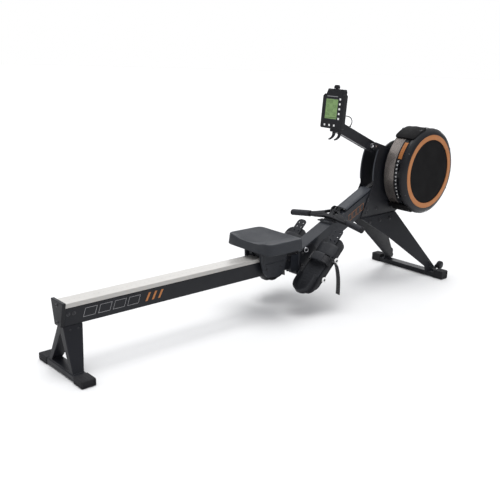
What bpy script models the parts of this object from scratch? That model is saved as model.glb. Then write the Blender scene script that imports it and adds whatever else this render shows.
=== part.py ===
"""Air and magnetic rowing machine, modelled as separate working sub-parts.

Units are metres. +X points forward, from the rear stand to the fan, +Y is the
left of a seated rower and +Z is up. The floor is z = 0 and the origin is at the
middle of the machine's length and width. The fan drum stands on the right side
of the frame, so its parts are turned about an axis that points along -Y.
"""
import math

import bmesh
import bpy
from mathutils import Matrix, Vector

# ---- driving dimensions -------------------------------------------------
GAP = 0.0003                   # left between pieces that touch
ROUND = 40                     # steps around a large turned piece
SMALL_ROUND = 20               # steps around a small turned piece

# monorail
RAIL_REAR_X = -1.2100
RAIL_FRONT_X = 0.1120
BEAM_BOTTOM_Z = 0.2070
BEAM_TOP_Z = 0.2857
BEAM_HALF_BOTTOM = 0.0230
BEAM_HALF_TOP = 0.0300
BEAM_WALL = 0.0035
TRACK_TOP_Z = 0.3090
TRACK_HALF_TOP = 0.0395
TRACK_HALF_BOTTOM = 0.0312

# stands
REAR_FOOT_X = (-1.2271, -1.1619)
REAR_FOOT_HALF = 0.1780
REAR_CAP_LENGTH = 0.0650
REAR_CAP_HEIGHT = 0.0315
FRONT_FOOT_X = (1.1200, 1.1800)
FRONT_FOOT_HALF = 0.2590
FRONT_CAP_LENGTH = 0.0590
FRONT_CAP_HEIGHT = 0.0480
FOOT_TUBE_Z = (0.0050, 0.0290)
CAP_GRIP = 0.0200              # how far a foot tube enters its end cap

# boom, from the rail's end up to the tower
BOOM_REAR_X = 0.1130
BOOM_FRONT_X = 0.7000
BOOM_HALF = 0.0410
BOOM_SLOPE = 0.4582
BOOM_TOP_AT_REAR = 0.2975
BOOM_DEPTH = 0.0980            # measured straight down
BOOM_WALL = 0.0050
MOUTH_X = 0.4700               # where the belt leaves the boom

# tower
TOWER_FACE = 0.0463            # outer face of each side plate from the middle
PLATE = 0.0050
TOWER_RADIUS = 0.3120
LEG_TOP_Z = 0.4050
LEG_SPLAY = math.atan(0.2817)

# fan, distances along its axis are measured to the right of the middle plane
FAN_X = 0.9800
FAN_Z = 0.6520
SHELL_RADIUS = 0.2400
BAND = (0.0620, 0.1300)
DAMPER = (0.1303, 0.1650)
FACE_OUT = 0.1950
FACE_RADIUS = 0.2070
RING_INNER = 0.1790
AXLE_RADIUS = 0.0080
BLADES = 16
VENTS = 20
VENT_ROW = (0.1500, 0.1605)    # from the centre plane, along the fan's axle
CLAMP_RADIUS = 0.2500

# seat
SEAT_X = -0.0970
SEAT_HALF_WIDTH = 0.1570
SEAT_UNDER_Z = 0.3500
SEAT_TOP_Z = 0.4120
CARRIAGE_HALF = 0.0600
ROLLER_RADIUS = 0.0165
ROLLER_X = (-0.1500, -0.0250)
ROLLER_Z = TRACK_TOP_Z + ROLLER_RADIUS + 0.0002

# footrests: a board plane that leans back at 45 degrees over two cross bars
FOOT_SLOPE = math.radians(45.0)
BAR_HIGH = (0.2170, 0.2680)
BAR_LOW = (0.1320, 0.1830)
BAR_RADIUS = 0.0090
BAR_HALF = 0.2050
BOARD_OFF = 0.0156             # board's middle plane from the bars' centres
BOARD = 0.0120
BOARD_Y = (0.0620, 0.2000)
CUP_HEIGHT = 0.0340            # of the heel cup's wall above the board
HEEL_Y = (0.0780, 0.1840)
STRAP_HALF = 0.0200

# handle: drawn in a plane that rises towards the belt
HANDLE_X = 0.3500
HANDLE_Z = 0.4180
HANDLE_TILT = math.radians(34.0)
YOKE_NOSE = 0.0880             # yoke's front edge from the grips' line
GRIP_RADIUS = 0.0150
GRIP_END = 0.2480

# monitor and its arm
ARM_PIVOT = (0.6660, 0.7990)
ARM_SLOPE = math.atan(0.4229)
ARM_HALF = 0.0180
ARM_DEPTH = 0.0560
ARM_WALL = 0.0030
ARM_LENGTH = 0.3080
TILT_AXIS = (0.3880, 0.9170)
MONITOR_TILT = math.radians(4.0)
MONITOR_CORNER = (0.3380, 0.0, 0.9080)
MONITOR_HALF = 0.0715
BUTTON_HALF = 0.0050
CABLE_RADIUS = 0.0024

# transport wheels
WHEEL_X = 1.2031
WHEEL_Z = 0.0600
WHEEL_RADIUS = 0.0240
WHEEL_Y = (0.1760, 0.1990)

parts = None
cutters = None


# ---- scene, collections and materials -----------------------------------
def clear_scene():
    for old in list(bpy.data.objects):
        bpy.data.objects.remove(old, do_unlink=True)


def make_collection(name):
    collection = bpy.data.collections.new(name)
    bpy.context.scene.collection.children.link(collection)
    return collection


def make_material(name, colour, roughness, metallic=0.0):
    mat = bpy.data.materials.new(name)
    mat.use_nodes = True
    shader = mat.node_tree.nodes["Principled BSDF"]
    shader.inputs["Base Color"].default_value = (*colour, 1.0)
    shader.inputs["Roughness"].default_value = roughness
    shader.inputs["Metallic"].default_value = metallic
    mat.diffuse_color = (*colour, 1.0)
    return mat


def make_materials():
    return {
        "frame": make_material("painted_charcoal", (0.035, 0.037, 0.042), 0.45),
        "steel": make_material("stainless_track", (0.72, 0.72, 0.70), 0.28, 1.0),
        "plastic": make_material("black_plastic", (0.022, 0.022, 0.025), 0.55),
        "grey": make_material("grey_plastic", (0.060, 0.062, 0.068), 0.50),
        "pad": make_material("seat_foam", (0.075, 0.078, 0.085), 0.70),
        "rubber": make_material("grip_rubber", (0.018, 0.018, 0.020), 0.80),
        "band": make_material("perforated_band", (0.36, 0.33, 0.31), 0.38, 0.9),
        "copper": make_material("copper_trim", (0.62, 0.27, 0.09), 0.45, 0.2),
        "screen": make_material("green_screen", (0.25, 0.42, 0.16), 0.25),
        "button": make_material("white_button", (0.85, 0.85, 0.84), 0.45),
        "webbing": make_material("black_webbing", (0.015, 0.015, 0.017), 0.85),
        "zinc": make_material("zinc_plate", (0.55, 0.55, 0.57), 0.35, 1.0),
    }


# ---- building blocks ----------------------------------------------------
def use_material(obj, mat):
    obj.data.materials.clear()
    obj.data.materials.append(mat)
    return obj


def place(obj, collection):
    for owner in list(obj.users_collection):
        owner.objects.unlink(obj)
    collection.objects.link(obj)
    return obj


def as_cutter(obj):
    place(obj, cutters)
    obj.hide_render = True
    obj.display_type = "WIRE"
    return obj


def apply_transform(obj):
    obj.data.transform(obj.matrix_basis)
    obj.matrix_basis = Matrix.Identity(4)


def set_origin(obj, point):
    """Moves an unrotated object's origin and keeps its mesh where it is."""
    shift = Vector(point) - obj.location
    obj.data.transform(Matrix.Translation(-shift))
    obj.location = Vector(point)
    return obj


def add_bevel(obj, width, segments=1, angle=40.0):
    bevel = obj.modifiers.new("edge", "BEVEL")
    bevel.width = width
    bevel.segments = segments
    bevel.limit_method = "ANGLE"
    bevel.angle_limit = math.radians(angle)
    return obj


def add_boolean(obj, other, operation="DIFFERENCE"):
    boolean = obj.modifiers.new(other.name, "BOOLEAN")
    boolean.operation = operation
    boolean.solver = "EXACT"
    boolean.object = other
    return obj


def smooth(obj, angle=35.0):
    obj.data.shade_smooth()
    obj.data.set_sharp_from_angle(angle=math.radians(angle))
    return obj


def box(name, x, y, z, mat):
    bpy.ops.mesh.primitive_cube_add(size=1.0)
    obj = bpy.context.object
    obj.name = name
    obj.scale = (x[1] - x[0], y[1] - y[0], z[1] - z[0])
    obj.location = ((x[0] + x[1]) / 2, (y[0] + y[1]) / 2, (z[0] + z[1]) / 2)
    apply_transform(obj)
    place(obj, parts)
    return use_material(obj, mat)


def curve_to_mesh(name, curve_obj, mat):
    """Turns a curve object into a closed mesh with welded caps."""
    graph = bpy.context.evaluated_depsgraph_get()
    mesh = bpy.data.meshes.new_from_object(curve_obj.evaluated_get(graph))
    weld = bmesh.new()
    weld.from_mesh(mesh)
    bmesh.ops.remove_doubles(weld, verts=weld.verts, dist=0.00002)
    bmesh.ops.recalc_face_normals(weld, faces=weld.faces)
    weld.to_mesh(mesh)
    weld.free()
    obj = bpy.data.objects.new(name, mesh)
    obj.matrix_world = curve_obj.matrix_world
    parts.objects.link(obj)
    bpy.data.objects.remove(curve_obj)
    return use_material(obj, mat)


PLANES = {
    # outline (a, b) and thickness run along these world axes
    "XY": Matrix(((1, 0, 0, 0), (0, 1, 0, 0), (0, 0, 1, 0), (0, 0, 0, 1))),
    "XZ": Matrix(((1, 0, 0, 0), (0, 0, -1, 0), (0, 1, 0, 0), (0, 0, 0, 1))),
    "YZ": Matrix(((0, 0, 1, 0), (1, 0, 0, 0), (0, 1, 0, 0), (0, 0, 0, 1))),
}


def prism(name, outlines, low, high, mat, plane="XZ"):
    """Extrudes flat outlines, the first one solid and the others holes.

    In plane XZ the thickness is measured to the right, so low and high are -Y.
    """
    data = bpy.data.curves.new(name + "_outline", "CURVE")
    data.dimensions = "2D"
    data.fill_mode = "BOTH"
    data.extrude = (high - low) / 2
    for outline in outlines:
        spline = data.splines.new("POLY")
        spline.points.add(len(outline) - 1)
        for point, (a, b) in zip(spline.points, outline):
            point.co = (a, b, 0.0, 1.0)
        spline.use_cyclic_u = True
    curve_obj = bpy.data.objects.new(name + "_outline", data)
    bpy.context.scene.collection.objects.link(curve_obj)
    bpy.context.view_layer.update()
    obj = curve_to_mesh(name, curve_obj, mat)
    obj.data.transform(Matrix.Translation((0, 0, (low + high) / 2)))
    obj.data.transform(PLANES[plane])
    return obj


def tube(name, points, radius, mat, resolution=3):
    data = bpy.data.curves.new(name + "_path", "CURVE")
    data.dimensions = "3D"
    data.bevel_depth = radius
    data.bevel_resolution = resolution
    data.use_fill_caps = True
    spline = data.splines.new("POLY")
    spline.points.add(len(points) - 1)
    for point, place_at in zip(spline.points, points):
        point.co = (*place_at, 1.0)
    curve_obj = bpy.data.objects.new(name + "_path", data)
    bpy.context.scene.collection.objects.link(curve_obj)
    bpy.context.view_layer.update()
    return smooth(curve_to_mesh(name, curve_obj, mat))


def rod_y(name, x, z, radius, y, mat, steps=SMALL_ROUND):
    """A round bar along Y, with its origin on its own axis."""
    bpy.ops.mesh.primitive_cylinder_add(vertices=steps, radius=radius, depth=y[1] - y[0])
    obj = bpy.context.object
    obj.name = name
    obj.data.transform(Matrix.Rotation(math.radians(90.0), 4, "X"))
    obj.location = (x, (y[0] + y[1]) / 2, z)
    place(obj, parts)
    return smooth(use_material(obj, mat))


def turned(name, profile, mat, centre, steps=ROUND, closed=True, side=-1):
    """Spins a profile of (radius, distance) pairs about an axis along Y.

    Distances run to the right when side is -1 and to the left when it is 1. The
    profile runs from far to near down its outer side, with far at the top.
    """
    mesh = bpy.data.meshes.new(name)
    verts = [(radius, 0.0, height) for radius, height in profile]
    edges = [(i, i + 1) for i in range(len(profile) - 1)]
    if closed:
        edges.append((len(profile) - 1, 0))
    mesh.from_pydata(verts, edges, [])
    obj = bpy.data.objects.new(name, mesh)
    parts.objects.link(obj)
    screw = obj.modifiers.new("spin", "SCREW")
    screw.axis = "Z"
    screw.steps = steps
    screw.render_steps = steps
    screw.use_merge_vertices = True
    screw.merge_threshold = 0.00005
    screw.use_normal_calculate = False
    obj.rotation_euler = (math.radians(-90.0 * side), 0.0, 0.0)
    obj.location = (centre[0], 0.0, centre[1])
    return use_material(obj, mat)


def arc(centre, radius, start, end, steps):
    """Points along a circle between two angles in degrees."""
    points = []
    for i in range(steps + 1):
        angle = math.radians(start + (end - start) * i / steps)
        points.append((centre[0] + radius * math.cos(angle), centre[1] + radius * math.sin(angle)))
    return points


def circle(centre, radius, steps=SMALL_ROUND):
    return arc(centre, radius, 0.0, 360.0 * (steps - 1) / steps, steps - 1)


def mirrored(points):
    """A right half outline followed by its mirror image across the first axis."""
    return points + [(-a, b) for a, b in reversed(points)]


def empty(name, point):
    obj = bpy.data.objects.new(name, None)
    obj.empty_display_size = 0.03
    obj.location = point
    parts.objects.link(obj)
    return obj


def hang(children, parent):
    """Parents pieces to an unrotated empty and keeps them where they are."""
    for child in children:
        child.parent = parent
        child.matrix_parent_inverse = Matrix.Translation(-parent.location)


def leaning_frame(slope, middle):
    """Frame with x to the right, y forward and up a slope, z out to the rear and up."""
    up = Vector((math.cos(slope), 0.0, math.sin(slope)))
    out = Vector((-math.sin(slope), 0.0, math.cos(slope)))
    matrix = Matrix.Identity(4)
    for row in range(3):
        matrix[row][0] = (0.0, -1.0, 0.0)[row]
        matrix[row][1] = up[row]
        matrix[row][2] = out[row]
        matrix[row][3] = middle[row]
    return matrix


def side_name(sign):
    return "left" if sign > 0 else "right"


def span(sign, near, far):
    """A range of Y on one side of the middle plane, low end first."""
    return tuple(sorted((sign * near, sign * far)))


# ---- stands and monorail ------------------------------------------------
def make_foot_caps(prefix, foot_x, half, length, height, mat):
    tube_x = (foot_x[0] + 0.003 - GAP, foot_x[1] - 0.003 + GAP)
    for sign in (1, -1):
        cap = box(f"{prefix}_foot_cap_{side_name(sign)}", foot_x,
                  span(sign, half - length, half), (0.0, height), mat)
        add_bevel(cap, 0.0025)
        socket = box("socket", tube_x, span(sign, half - length - 0.01, half - length + CAP_GRIP + GAP),
                     (FOOT_TUBE_Z[0] - GAP, FOOT_TUBE_Z[1] + GAP), mat)
        add_boolean(cap, as_cutter(socket))


def make_rear_stand(mats):
    bar_half = REAR_FOOT_HALF - REAR_CAP_LENGTH + CAP_GRIP
    bar = box("rear_stand", (REAR_FOOT_X[0] + 0.003, REAR_FOOT_X[1] - 0.003),
              (-bar_half, bar_half), FOOT_TUBE_Z, mats["frame"])
    top = BEAM_BOTTOM_Z - GAP
    frame_face = mirrored([(0.0225, top), (0.1020, FOOT_TUBE_Z[1] - 0.0020)])
    window = [(0.0, 0.172), (0.0770, 0.034), (-0.0770, 0.034)]
    legs = prism("rear_stand_legs", [frame_face, window], -1.23, -1.10, mats["frame"], "YZ")
    ankle = FOOT_TUBE_Z[1] - 0.002
    side = [(-1.2140, top), (-1.1260, top), (-1.1710, ankle), (-1.2200, ankle)]
    envelope = prism("rear_stand_side", [side], -0.15, 0.15, mats["frame"])
    add_boolean(legs, as_cutter(envelope), "INTERSECT")
    add_boolean(bar, as_cutter(legs), "UNION")
    make_foot_caps("rear", REAR_FOOT_X, REAR_FOOT_HALF, REAR_CAP_LENGTH, REAR_CAP_HEIGHT, mats["rubber"])


def make_monorail(mats):
    wall = BEAM_WALL
    outer = mirrored([(BEAM_HALF_TOP, BEAM_TOP_Z), (BEAM_HALF_BOTTOM, BEAM_BOTTOM_Z)])
    inner = mirrored([(BEAM_HALF_TOP - wall, BEAM_TOP_Z - wall),
                      (BEAM_HALF_BOTTOM - wall, BEAM_BOTTOM_Z + wall)])
    prism("monorail_beam", [outer, inner], RAIL_REAR_X, RAIL_FRONT_X, mats["frame"], "YZ")
    lip = 0.0018
    track = mirrored([(TRACK_HALF_TOP - lip, TRACK_TOP_Z), (TRACK_HALF_TOP, TRACK_TOP_Z - lip),
                      (TRACK_HALF_BOTTOM, BEAM_TOP_Z + GAP)])
    prism("rail_track", [track], RAIL_REAR_X, RAIL_FRONT_X, mats["steel"], "YZ")
    plate = mirrored([(0.0490, 0.3150), (0.0250, 0.2083)])
    end = prism("rail_end_plate", [plate], RAIL_REAR_X - 0.0160, RAIL_REAR_X - GAP, mats["plastic"], "YZ")
    add_bevel(end, 0.0015)


# ---- boom, tower and front stand ----------------------------------------
def boom_top(x):
    return BOOM_TOP_AT_REAR + BOOM_SLOPE * (x - BOOM_REAR_X)


def boom_strip(x0, x1, above, below):
    """A slanted outline that follows the boom's top between two heights from it."""
    return [(x0, boom_top(x0) + below), (x1, boom_top(x1) + below),
            (x1, boom_top(x1) + above), (x0, boom_top(x0) + above)]


def make_boom(mats):
    outline = boom_strip(BOOM_REAR_X, BOOM_FRONT_X, 0.0, -BOOM_DEPTH)
    boom = prism("boom", [outline], -BOOM_HALF, BOOM_HALF, mats["frame"])
    add_bevel(boom, 0.0030)
    sleeve_face = [(-BOOM_HALF + 0.003, 0.2845), (-BOOM_HALF + 0.003, 0.1960),
                   (BOOM_HALF - 0.003, 0.1960), (BOOM_HALF - 0.003, 0.2845),
                   (0.0304, 0.2845), (0.0234, 0.2066), (-0.0234, 0.2066), (-0.0304, 0.2845)]
    sleeve = prism("boom_socket", [sleeve_face], 0.0600, BOOM_REAR_X + 0.010, mats["frame"], "YZ")
    add_boolean(boom, as_cutter(sleeve), "UNION")
    lug = prism("boom_lug", [[(0.1165, 0.215), (0.1165, 0.203), (0.108, 0.200), (0.108, 0.176),
                             (0.120, 0.167), (0.144, 0.167), (0.156, 0.176), (0.156, 0.222)]], -0.0300, 0.0300, mats["frame"])
    add_boolean(boom, as_cutter(lug), "UNION")
    make_handle_saddle(boom, mats)
    inside = boom_strip(BOOM_REAR_X + 0.0200, BOOM_FRONT_X + 0.0200, -BOOM_WALL, -BOOM_DEPTH + BOOM_WALL)
    hollow = prism("boom_hollow", [inside], -BOOM_HALF + BOOM_WALL, BOOM_HALF - BOOM_WALL, mats["frame"])
    add_boolean(boom, as_cutter(hollow))
    for label, centre in (("high", BAR_HIGH), ("low", BAR_LOW)):
        hole = rod_y(f"bar_hole_{label}", centre[0], centre[1], BAR_RADIUS + GAP,
                     (-0.08, 0.08), mats["frame"])
        add_boolean(boom, as_cutter(hole))
    rise = 0.0140
    cover = prism("belt_cover", [boom_strip(MOUTH_X, 0.6700, rise, GAP)], -0.0360, 0.0360, mats["grey"])
    add_bevel(cover, 0.0040)
    tunnel = prism("belt_tunnel", [boom_strip(MOUTH_X - 0.02, 0.6900, rise - 0.003, -0.02)],
                   -0.0190, 0.0190, mats["grey"])
    add_boolean(cover, as_cutter(tunnel))


def handle_plane_point(y, rise):
    """A point of the handle's plane, rise metres up its slope from the grips."""
    return (HANDLE_X + rise * math.cos(HANDLE_TILT), y, HANDLE_Z + rise * math.sin(HANDLE_TILT))


def make_handle_saddle(boom, mats):
    """Saddle welded across the boom's top, where the resting handle lies."""
    base = box("handle_saddle", (0.3450, 0.3850), (-0.0560, 0.0560), (0.4100, 0.4150), mats["frame"])
    foot = prism("saddle_foot", [[(0.3480, 0.3900), (0.3820, 0.4000), (0.3820, 0.4130), (0.3480, 0.4130)]],
                 -0.0380, 0.0380, mats["frame"])
    add_boolean(boom, as_cutter(foot), "UNION")
    add_boolean(boom, as_cutter(base), "UNION")


def tower_outline():
    lower = [(0.5840, LEG_TOP_Z), (0.8940, LEG_TOP_Z), (0.9600, 0.4400), (1.0600, 0.5300)]
    front = [(1.1000, 0.6300), (1.0700, 0.7200), (0.9900, 0.7600), (0.8400, 0.7700)]
    ear = arc(ARM_PIVOT, 0.0220, 60.0, 250.0, 8)
    rear = arc((FAN_X, FAN_Z), TOWER_RADIUS, 154.0, 192.0, 10)
    return lower + front + ear + rear


def make_tower(mats):
    centre = (FAN_X, FAN_Z)
    for sign in (1, -1):
        low, high = sorted((-sign * TOWER_FACE, -sign * (TOWER_FACE - PLATE)))
        outlines = [tower_outline(), circle(centre, AXLE_RADIUS + GAP), circle(ARM_PIVOT, 0.0053)]
        prism(f"tower_plate_{side_name(sign)}", outlines, low, high, mats["frame"])
    rod_y("fan_axle", FAN_X, FAN_Z, AXLE_RADIUS, (-0.1840, 0.0600), mats["zinc"])
    rod_y("arm_bolt", ARM_PIVOT[0], ARM_PIVOT[1], 0.0050, (-0.0520, 0.0520), mats["zinc"])
    cover = turned("left_cover", [(0.0, 0.0780), (0.1150, 0.0780), (0.1400, 0.0700), (0.1500, 0.0560),
                                  (0.1500, TOWER_FACE + GAP), (0.1460, TOWER_FACE + GAP),
                                  (0.1460, 0.0545), (0.1380, 0.0665), (0.1140, 0.0745), (0.0, 0.0745)],
                   mats["plastic"], centre, closed=False, side=1)
    smooth_after_spin(cover)


def smooth_after_spin(obj):
    obj.modifiers["spin"].use_smooth_shade = True


def leg_outline():
    """Leg plate in its own plane: X, and distance down the splayed slope."""
    points = [(0.5840, 0.4050), (0.7920, 0.2820), (1.1010, 0.0620), (1.1010, 0.0305),
              (1.1930, 0.0305), (1.1930, 0.0480), (0.8910, 0.4080)]
    return [(x, -(LEG_TOP_Z - z) / math.cos(LEG_SPLAY)) for x, z in points]


def make_front_stand(mats):
    for sign in (1, -1):
        leg = prism(f"front_leg_{side_name(sign)}", [leg_outline()], -0.0035, 0.0035, mats["frame"])
        add_bevel(leg, 0.0010)
        leg.rotation_euler = (sign * LEG_SPLAY, 0.0, 0.0)
        leg.location = (0.0, sign * 0.0515, LEG_TOP_Z)
    bar_half = FRONT_FOOT_HALF - FRONT_CAP_LENGTH + CAP_GRIP
    bar = box("front_foot_bar", (FRONT_FOOT_X[0] + 0.003, FRONT_FOOT_X[1] - 0.003),
              (-bar_half, bar_half), (FOOT_TUBE_Z[0], FOOT_TUBE_Z[1]), mats["frame"])
    for sign in (1, -1):
        lug_shape = [(1.1500, 0.0200), (1.1760, 0.0200)]
        lug_shape += arc((WHEEL_X, WHEEL_Z), 0.0110, -50.0, 120.0, 6)
        lug_shape.append((1.1500, 0.0400))
        low, high = sorted((-sign * 0.1690, -sign * 0.1745))
        lug = prism(f"wheel_lug_{side_name(sign)}", [lug_shape], low, high, mats["frame"])
        add_boolean(bar, as_cutter(lug), "UNION")
        pin = rod_y(f"wheel_pin_{side_name(sign)}", WHEEL_X, WHEEL_Z, 0.0040,
                    span(sign, 0.1700, 0.1985), mats["zinc"], 12)
        add_boolean(bar, as_cutter(pin), "UNION")
        profile = [(WHEEL_RADIUS - 0.003, WHEEL_Y[1]), (WHEEL_RADIUS, WHEEL_Y[1] - 0.003),
                   (WHEEL_RADIUS, WHEEL_Y[0] + 0.003), (WHEEL_RADIUS - 0.003, WHEEL_Y[0]),
                   (0.0043, WHEEL_Y[0]), (0.0043, WHEEL_Y[1])]
        wheel = turned(f"transport_wheel_{side_name(sign)}", profile, mats["rubber"],
                       (WHEEL_X, WHEEL_Z), 24, side=sign)
        smooth_after_spin(wheel)
    make_foot_caps("front", FRONT_FOOT_X, FRONT_FOOT_HALF, FRONT_CAP_LENGTH, FRONT_CAP_HEIGHT,
                   mats["rubber"])


# ---- fan ----------------------------------------------------------------
def ring_windows(name, count, inner, outer, near, far, share, mats):
    """Radial blocks, joined in one cutter, that open a ring wall count times."""
    mesh = bpy.data.meshes.new(name)
    work = bmesh.new()
    width = 2 * math.pi * outer / count * share
    for i in range(count):
        turn = Matrix.Rotation(2 * math.pi * (i + 0.5) / count, 4, "Y")
        move = Matrix.Translation(((inner + outer) / 2, -(near + far) / 2, 0.0))
        scale = Matrix.Diagonal((outer - inner, far - near, width, 1.0))
        bmesh.ops.create_cube(work, size=1.0, matrix=turn @ move @ scale)
    work.to_mesh(mesh)
    work.free()
    obj = bpy.data.objects.new(name, mesh)
    parts.objects.link(obj)
    obj.location = (FAN_X, 0.0, FAN_Z)
    return use_material(as_cutter(obj), mats["frame"])


def blade_outline():
    """Hub with flat blades around it, as one outline about the fan's axis."""
    hub = 0.0400
    tip = 0.2200
    half = 0.0015
    points = []
    for i in range(BLADES):
        angle = 2 * math.pi * i / BLADES
        along = Vector((math.cos(angle), math.sin(angle)))
        across = Vector((-along.y, along.x))
        for radius, side in ((hub, -1), (tip, -1), (tip, 1), (hub, 1)):
            spot = along * radius + across * side * half
            points.append((FAN_X + spot.x, FAN_Z + spot.y))
    return points


def make_fan(mats):
    centre = (FAN_X, FAN_Z)
    band = turned("fan_band", [(SHELL_RADIUS, BAND[1]), (SHELL_RADIUS, BAND[0]),
                               (0.2365, BAND[0]), (0.2365, BAND[1])], mats["band"], centre, 64)
    pan = turned("fan_back_pan", [(AXLE_RADIUS + GAP, 0.0505), (0.1200, 0.0505), (0.1500, 0.0660),
                                  (0.2362, 0.0660), (0.2362, 0.0620), (0.1520, 0.0620),
                                  (0.1220, TOWER_FACE + GAP), (AXLE_RADIUS + GAP, TOWER_FACE + GAP)],
                 mats["plastic"], centre)
    cage = turned("fan_cage", [(0.2315, 0.1648), (0.2315, 0.0663), (0.2290, 0.0663), (0.2290, 0.1648)],
                  mats["plastic"], centre)
    add_boolean(cage, ring_windows("cage_windows", VENTS, 0.2200, 0.2400, *VENT_ROW, 0.55, mats))
    damper = turned("damper_ring", [(0.2385, DAMPER[1] - GAP), (0.2385, DAMPER[0]),
                                    (0.2330, DAMPER[0]), (0.2330, DAMPER[1] - GAP)],
                    mats["plastic"], centre)
    add_boolean(damper, ring_windows("damper_windows", VENTS, 0.2250, 0.2450, *VENT_ROW, 0.55, mats))
    shoulder = [(FACE_RADIUS, FACE_OUT)]
    shoulder += [(FACE_RADIUS + 0.033 * math.sin(math.radians(t)),
                  DAMPER[1] + GAP + (FACE_OUT - DAMPER[1] - GAP) * math.cos(math.radians(t)))
                 for t in (25.0, 50.0, 72.0, 90.0)]
    inside = [(0.2360, DAMPER[1] + GAP), (0.2330, 0.1760), (0.2200, 0.1860), (0.1500, 0.1860),
              (0.1500, 0.1900), (FACE_RADIUS, 0.1900)]
    cover = turned("fan_front_cover", shoulder + inside, mats["plastic"], centre, 64)
    ring = turned("fan_accent_ring", [(RING_INNER, 0.1955), (FACE_RADIUS - 0.0006, 0.1955),
                                      (FACE_RADIUS - GAP, 0.1903), (RING_INNER, 0.1903)],
                  mats["copper"], centre, 64)
    grille = turned("fan_face_grille", [(0.0, 0.1945), (0.1100, 0.1938), (RING_INNER - GAP, 0.1925),
                                        (RING_INNER - GAP, 0.1903), (0.0, 0.1903)],
                    mats["plastic"], centre, 48, closed=False)
    for piece in (band, pan, cage, damper, cover, ring, grille):
        smooth_after_spin(piece)
    wheel = prism("fan_wheel", [blade_outline(), circle(centre, AXLE_RADIUS + 0.0002)],
                  0.0760, 0.1600, mats["grey"])
    set_origin(wheel, (FAN_X, 0.0, FAN_Z))
    for label, low, high in (("top", 97.0, 125.0), ("bottom", 228.0, 244.0)):
        outline = arc(centre, CLAMP_RADIUS, low, high, 7)
        outline += arc(centre, SHELL_RADIUS + GAP + 0.0006, high, low, 7)
        clamp = prism(f"fan_clamp_{label}", [outline], 0.0480, 0.1820, mats["plastic"])
        add_bevel(clamp, 0.0035)
    drum = turned("belt_drum", [(0.0420, 0.0180), (0.0420, 0.0160), (0.0300, 0.0160), (0.0300, -0.0160),
                                (0.0420, -0.0160), (0.0420, -0.0180), (AXLE_RADIUS + 0.0002, -0.0180),
                                (AXLE_RADIUS + 0.0002, 0.0180)], mats["zinc"], centre, 32)
    smooth_after_spin(drum)


# ---- seat ---------------------------------------------------------------
def make_seat(mats):
    pad = box("seat_pad", (SEAT_X - 0.1180, SEAT_X + 0.1320), (-SEAT_HALF_WIDTH, SEAT_HALF_WIDTH),
              (SEAT_UNDER_Z, SEAT_TOP_Z), mats["pad"])
    add_bevel(pad, 0.0150, 2)
    ceiling = TRACK_TOP_Z + 2 * ROLLER_RADIUS + 0.0015
    top = SEAT_UNDER_Z - GAP
    inner = TRACK_HALF_TOP + 0.0080
    section = [(-CARRIAGE_HALF, top), (-CARRIAGE_HALF, 0.19), (-inner, 0.19), (-inner, ceiling),
               (inner, ceiling), (inner, 0.19), (CARRIAGE_HALF, 0.19), (CARRIAGE_HALF, top)]
    carriage = prism("seat_carriage", [section], -0.1800, 0.0160, mats["plastic"], "YZ")
    side = [(-0.1780, top), (-0.1760, 0.3050), (-0.1500, 0.2350), (-0.1200, 0.2060), (-0.0500, 0.2000),
            (-0.0120, 0.2220), (0.0000, 0.2700), (0.0120, top)]
    envelope = prism("carriage_side", [side], -0.08, 0.08, mats["plastic"])
    add_boolean(carriage, as_cutter(envelope), "INTERSECT")
    rollers = []
    for label, x in zip(("rear", "front"), ROLLER_X):
        bore = rod_y(f"roller_bore_{label}", x, ROLLER_Z, 0.0043, (-0.07, 0.07), mats["plastic"], 12)
        add_boolean(carriage, as_cutter(bore))
        half = [(0.0, 0.0590), (0.0040, 0.0590), (0.0040, 0.0360), (ROLLER_RADIUS, 0.0360),
                (ROLLER_RADIUS, 0.0140), (0.0090, 0.0140)]
        profile = half + [(r, -h) for r, h in reversed(half)]
        roller = turned(f"seat_roller_{label}", profile, mats["grey"], (x, ROLLER_Z), 24, closed=False)
        smooth_after_spin(roller)
        rollers.append(roller)
    seat = empty("seat_origin", (SEAT_X, 0.0, TRACK_TOP_Z))
    hang([pad, carriage], seat)


# ---- footrests ----------------------------------------------------------
def foot_matrix():
    """Board frame: x to the right, y up the slope, z out of the sole."""
    out = Vector((-math.sin(FOOT_SLOPE), 0.0, math.cos(FOOT_SLOPE)))
    middle = Vector(((BAR_HIGH[0] + BAR_LOW[0]) / 2, 0.0, (BAR_HIGH[1] + BAR_LOW[1]) / 2))
    return leaning_frame(FOOT_SLOPE, middle + out * BOARD_OFF)


def rounded(x0, x1, y0, y1, radius, steps=4):
    """Rounded rectangle outline."""
    points = []
    for cx, cy, start in ((x1 - radius, y1 - radius, 0.0), (x0 + radius, y1 - radius, 90.0),
                          (x0 + radius, y0 + radius, 180.0), (x1 - radius, y0 + radius, 270.0)):
        points += arc((cx, cy), radius, start, start + 90.0, steps)
    return points


def strap_arch(half, shoulder, drop):
    """One face of the webbing that arches over the foot, from side to side."""
    rise = [(half, 0.0), (half, 0.0300 - drop), (shoulder, 0.0560 - drop), (0.0, 0.0660 - drop)]
    return [(-a, b) for a, b in rise] + rise[2::-1]


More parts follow.
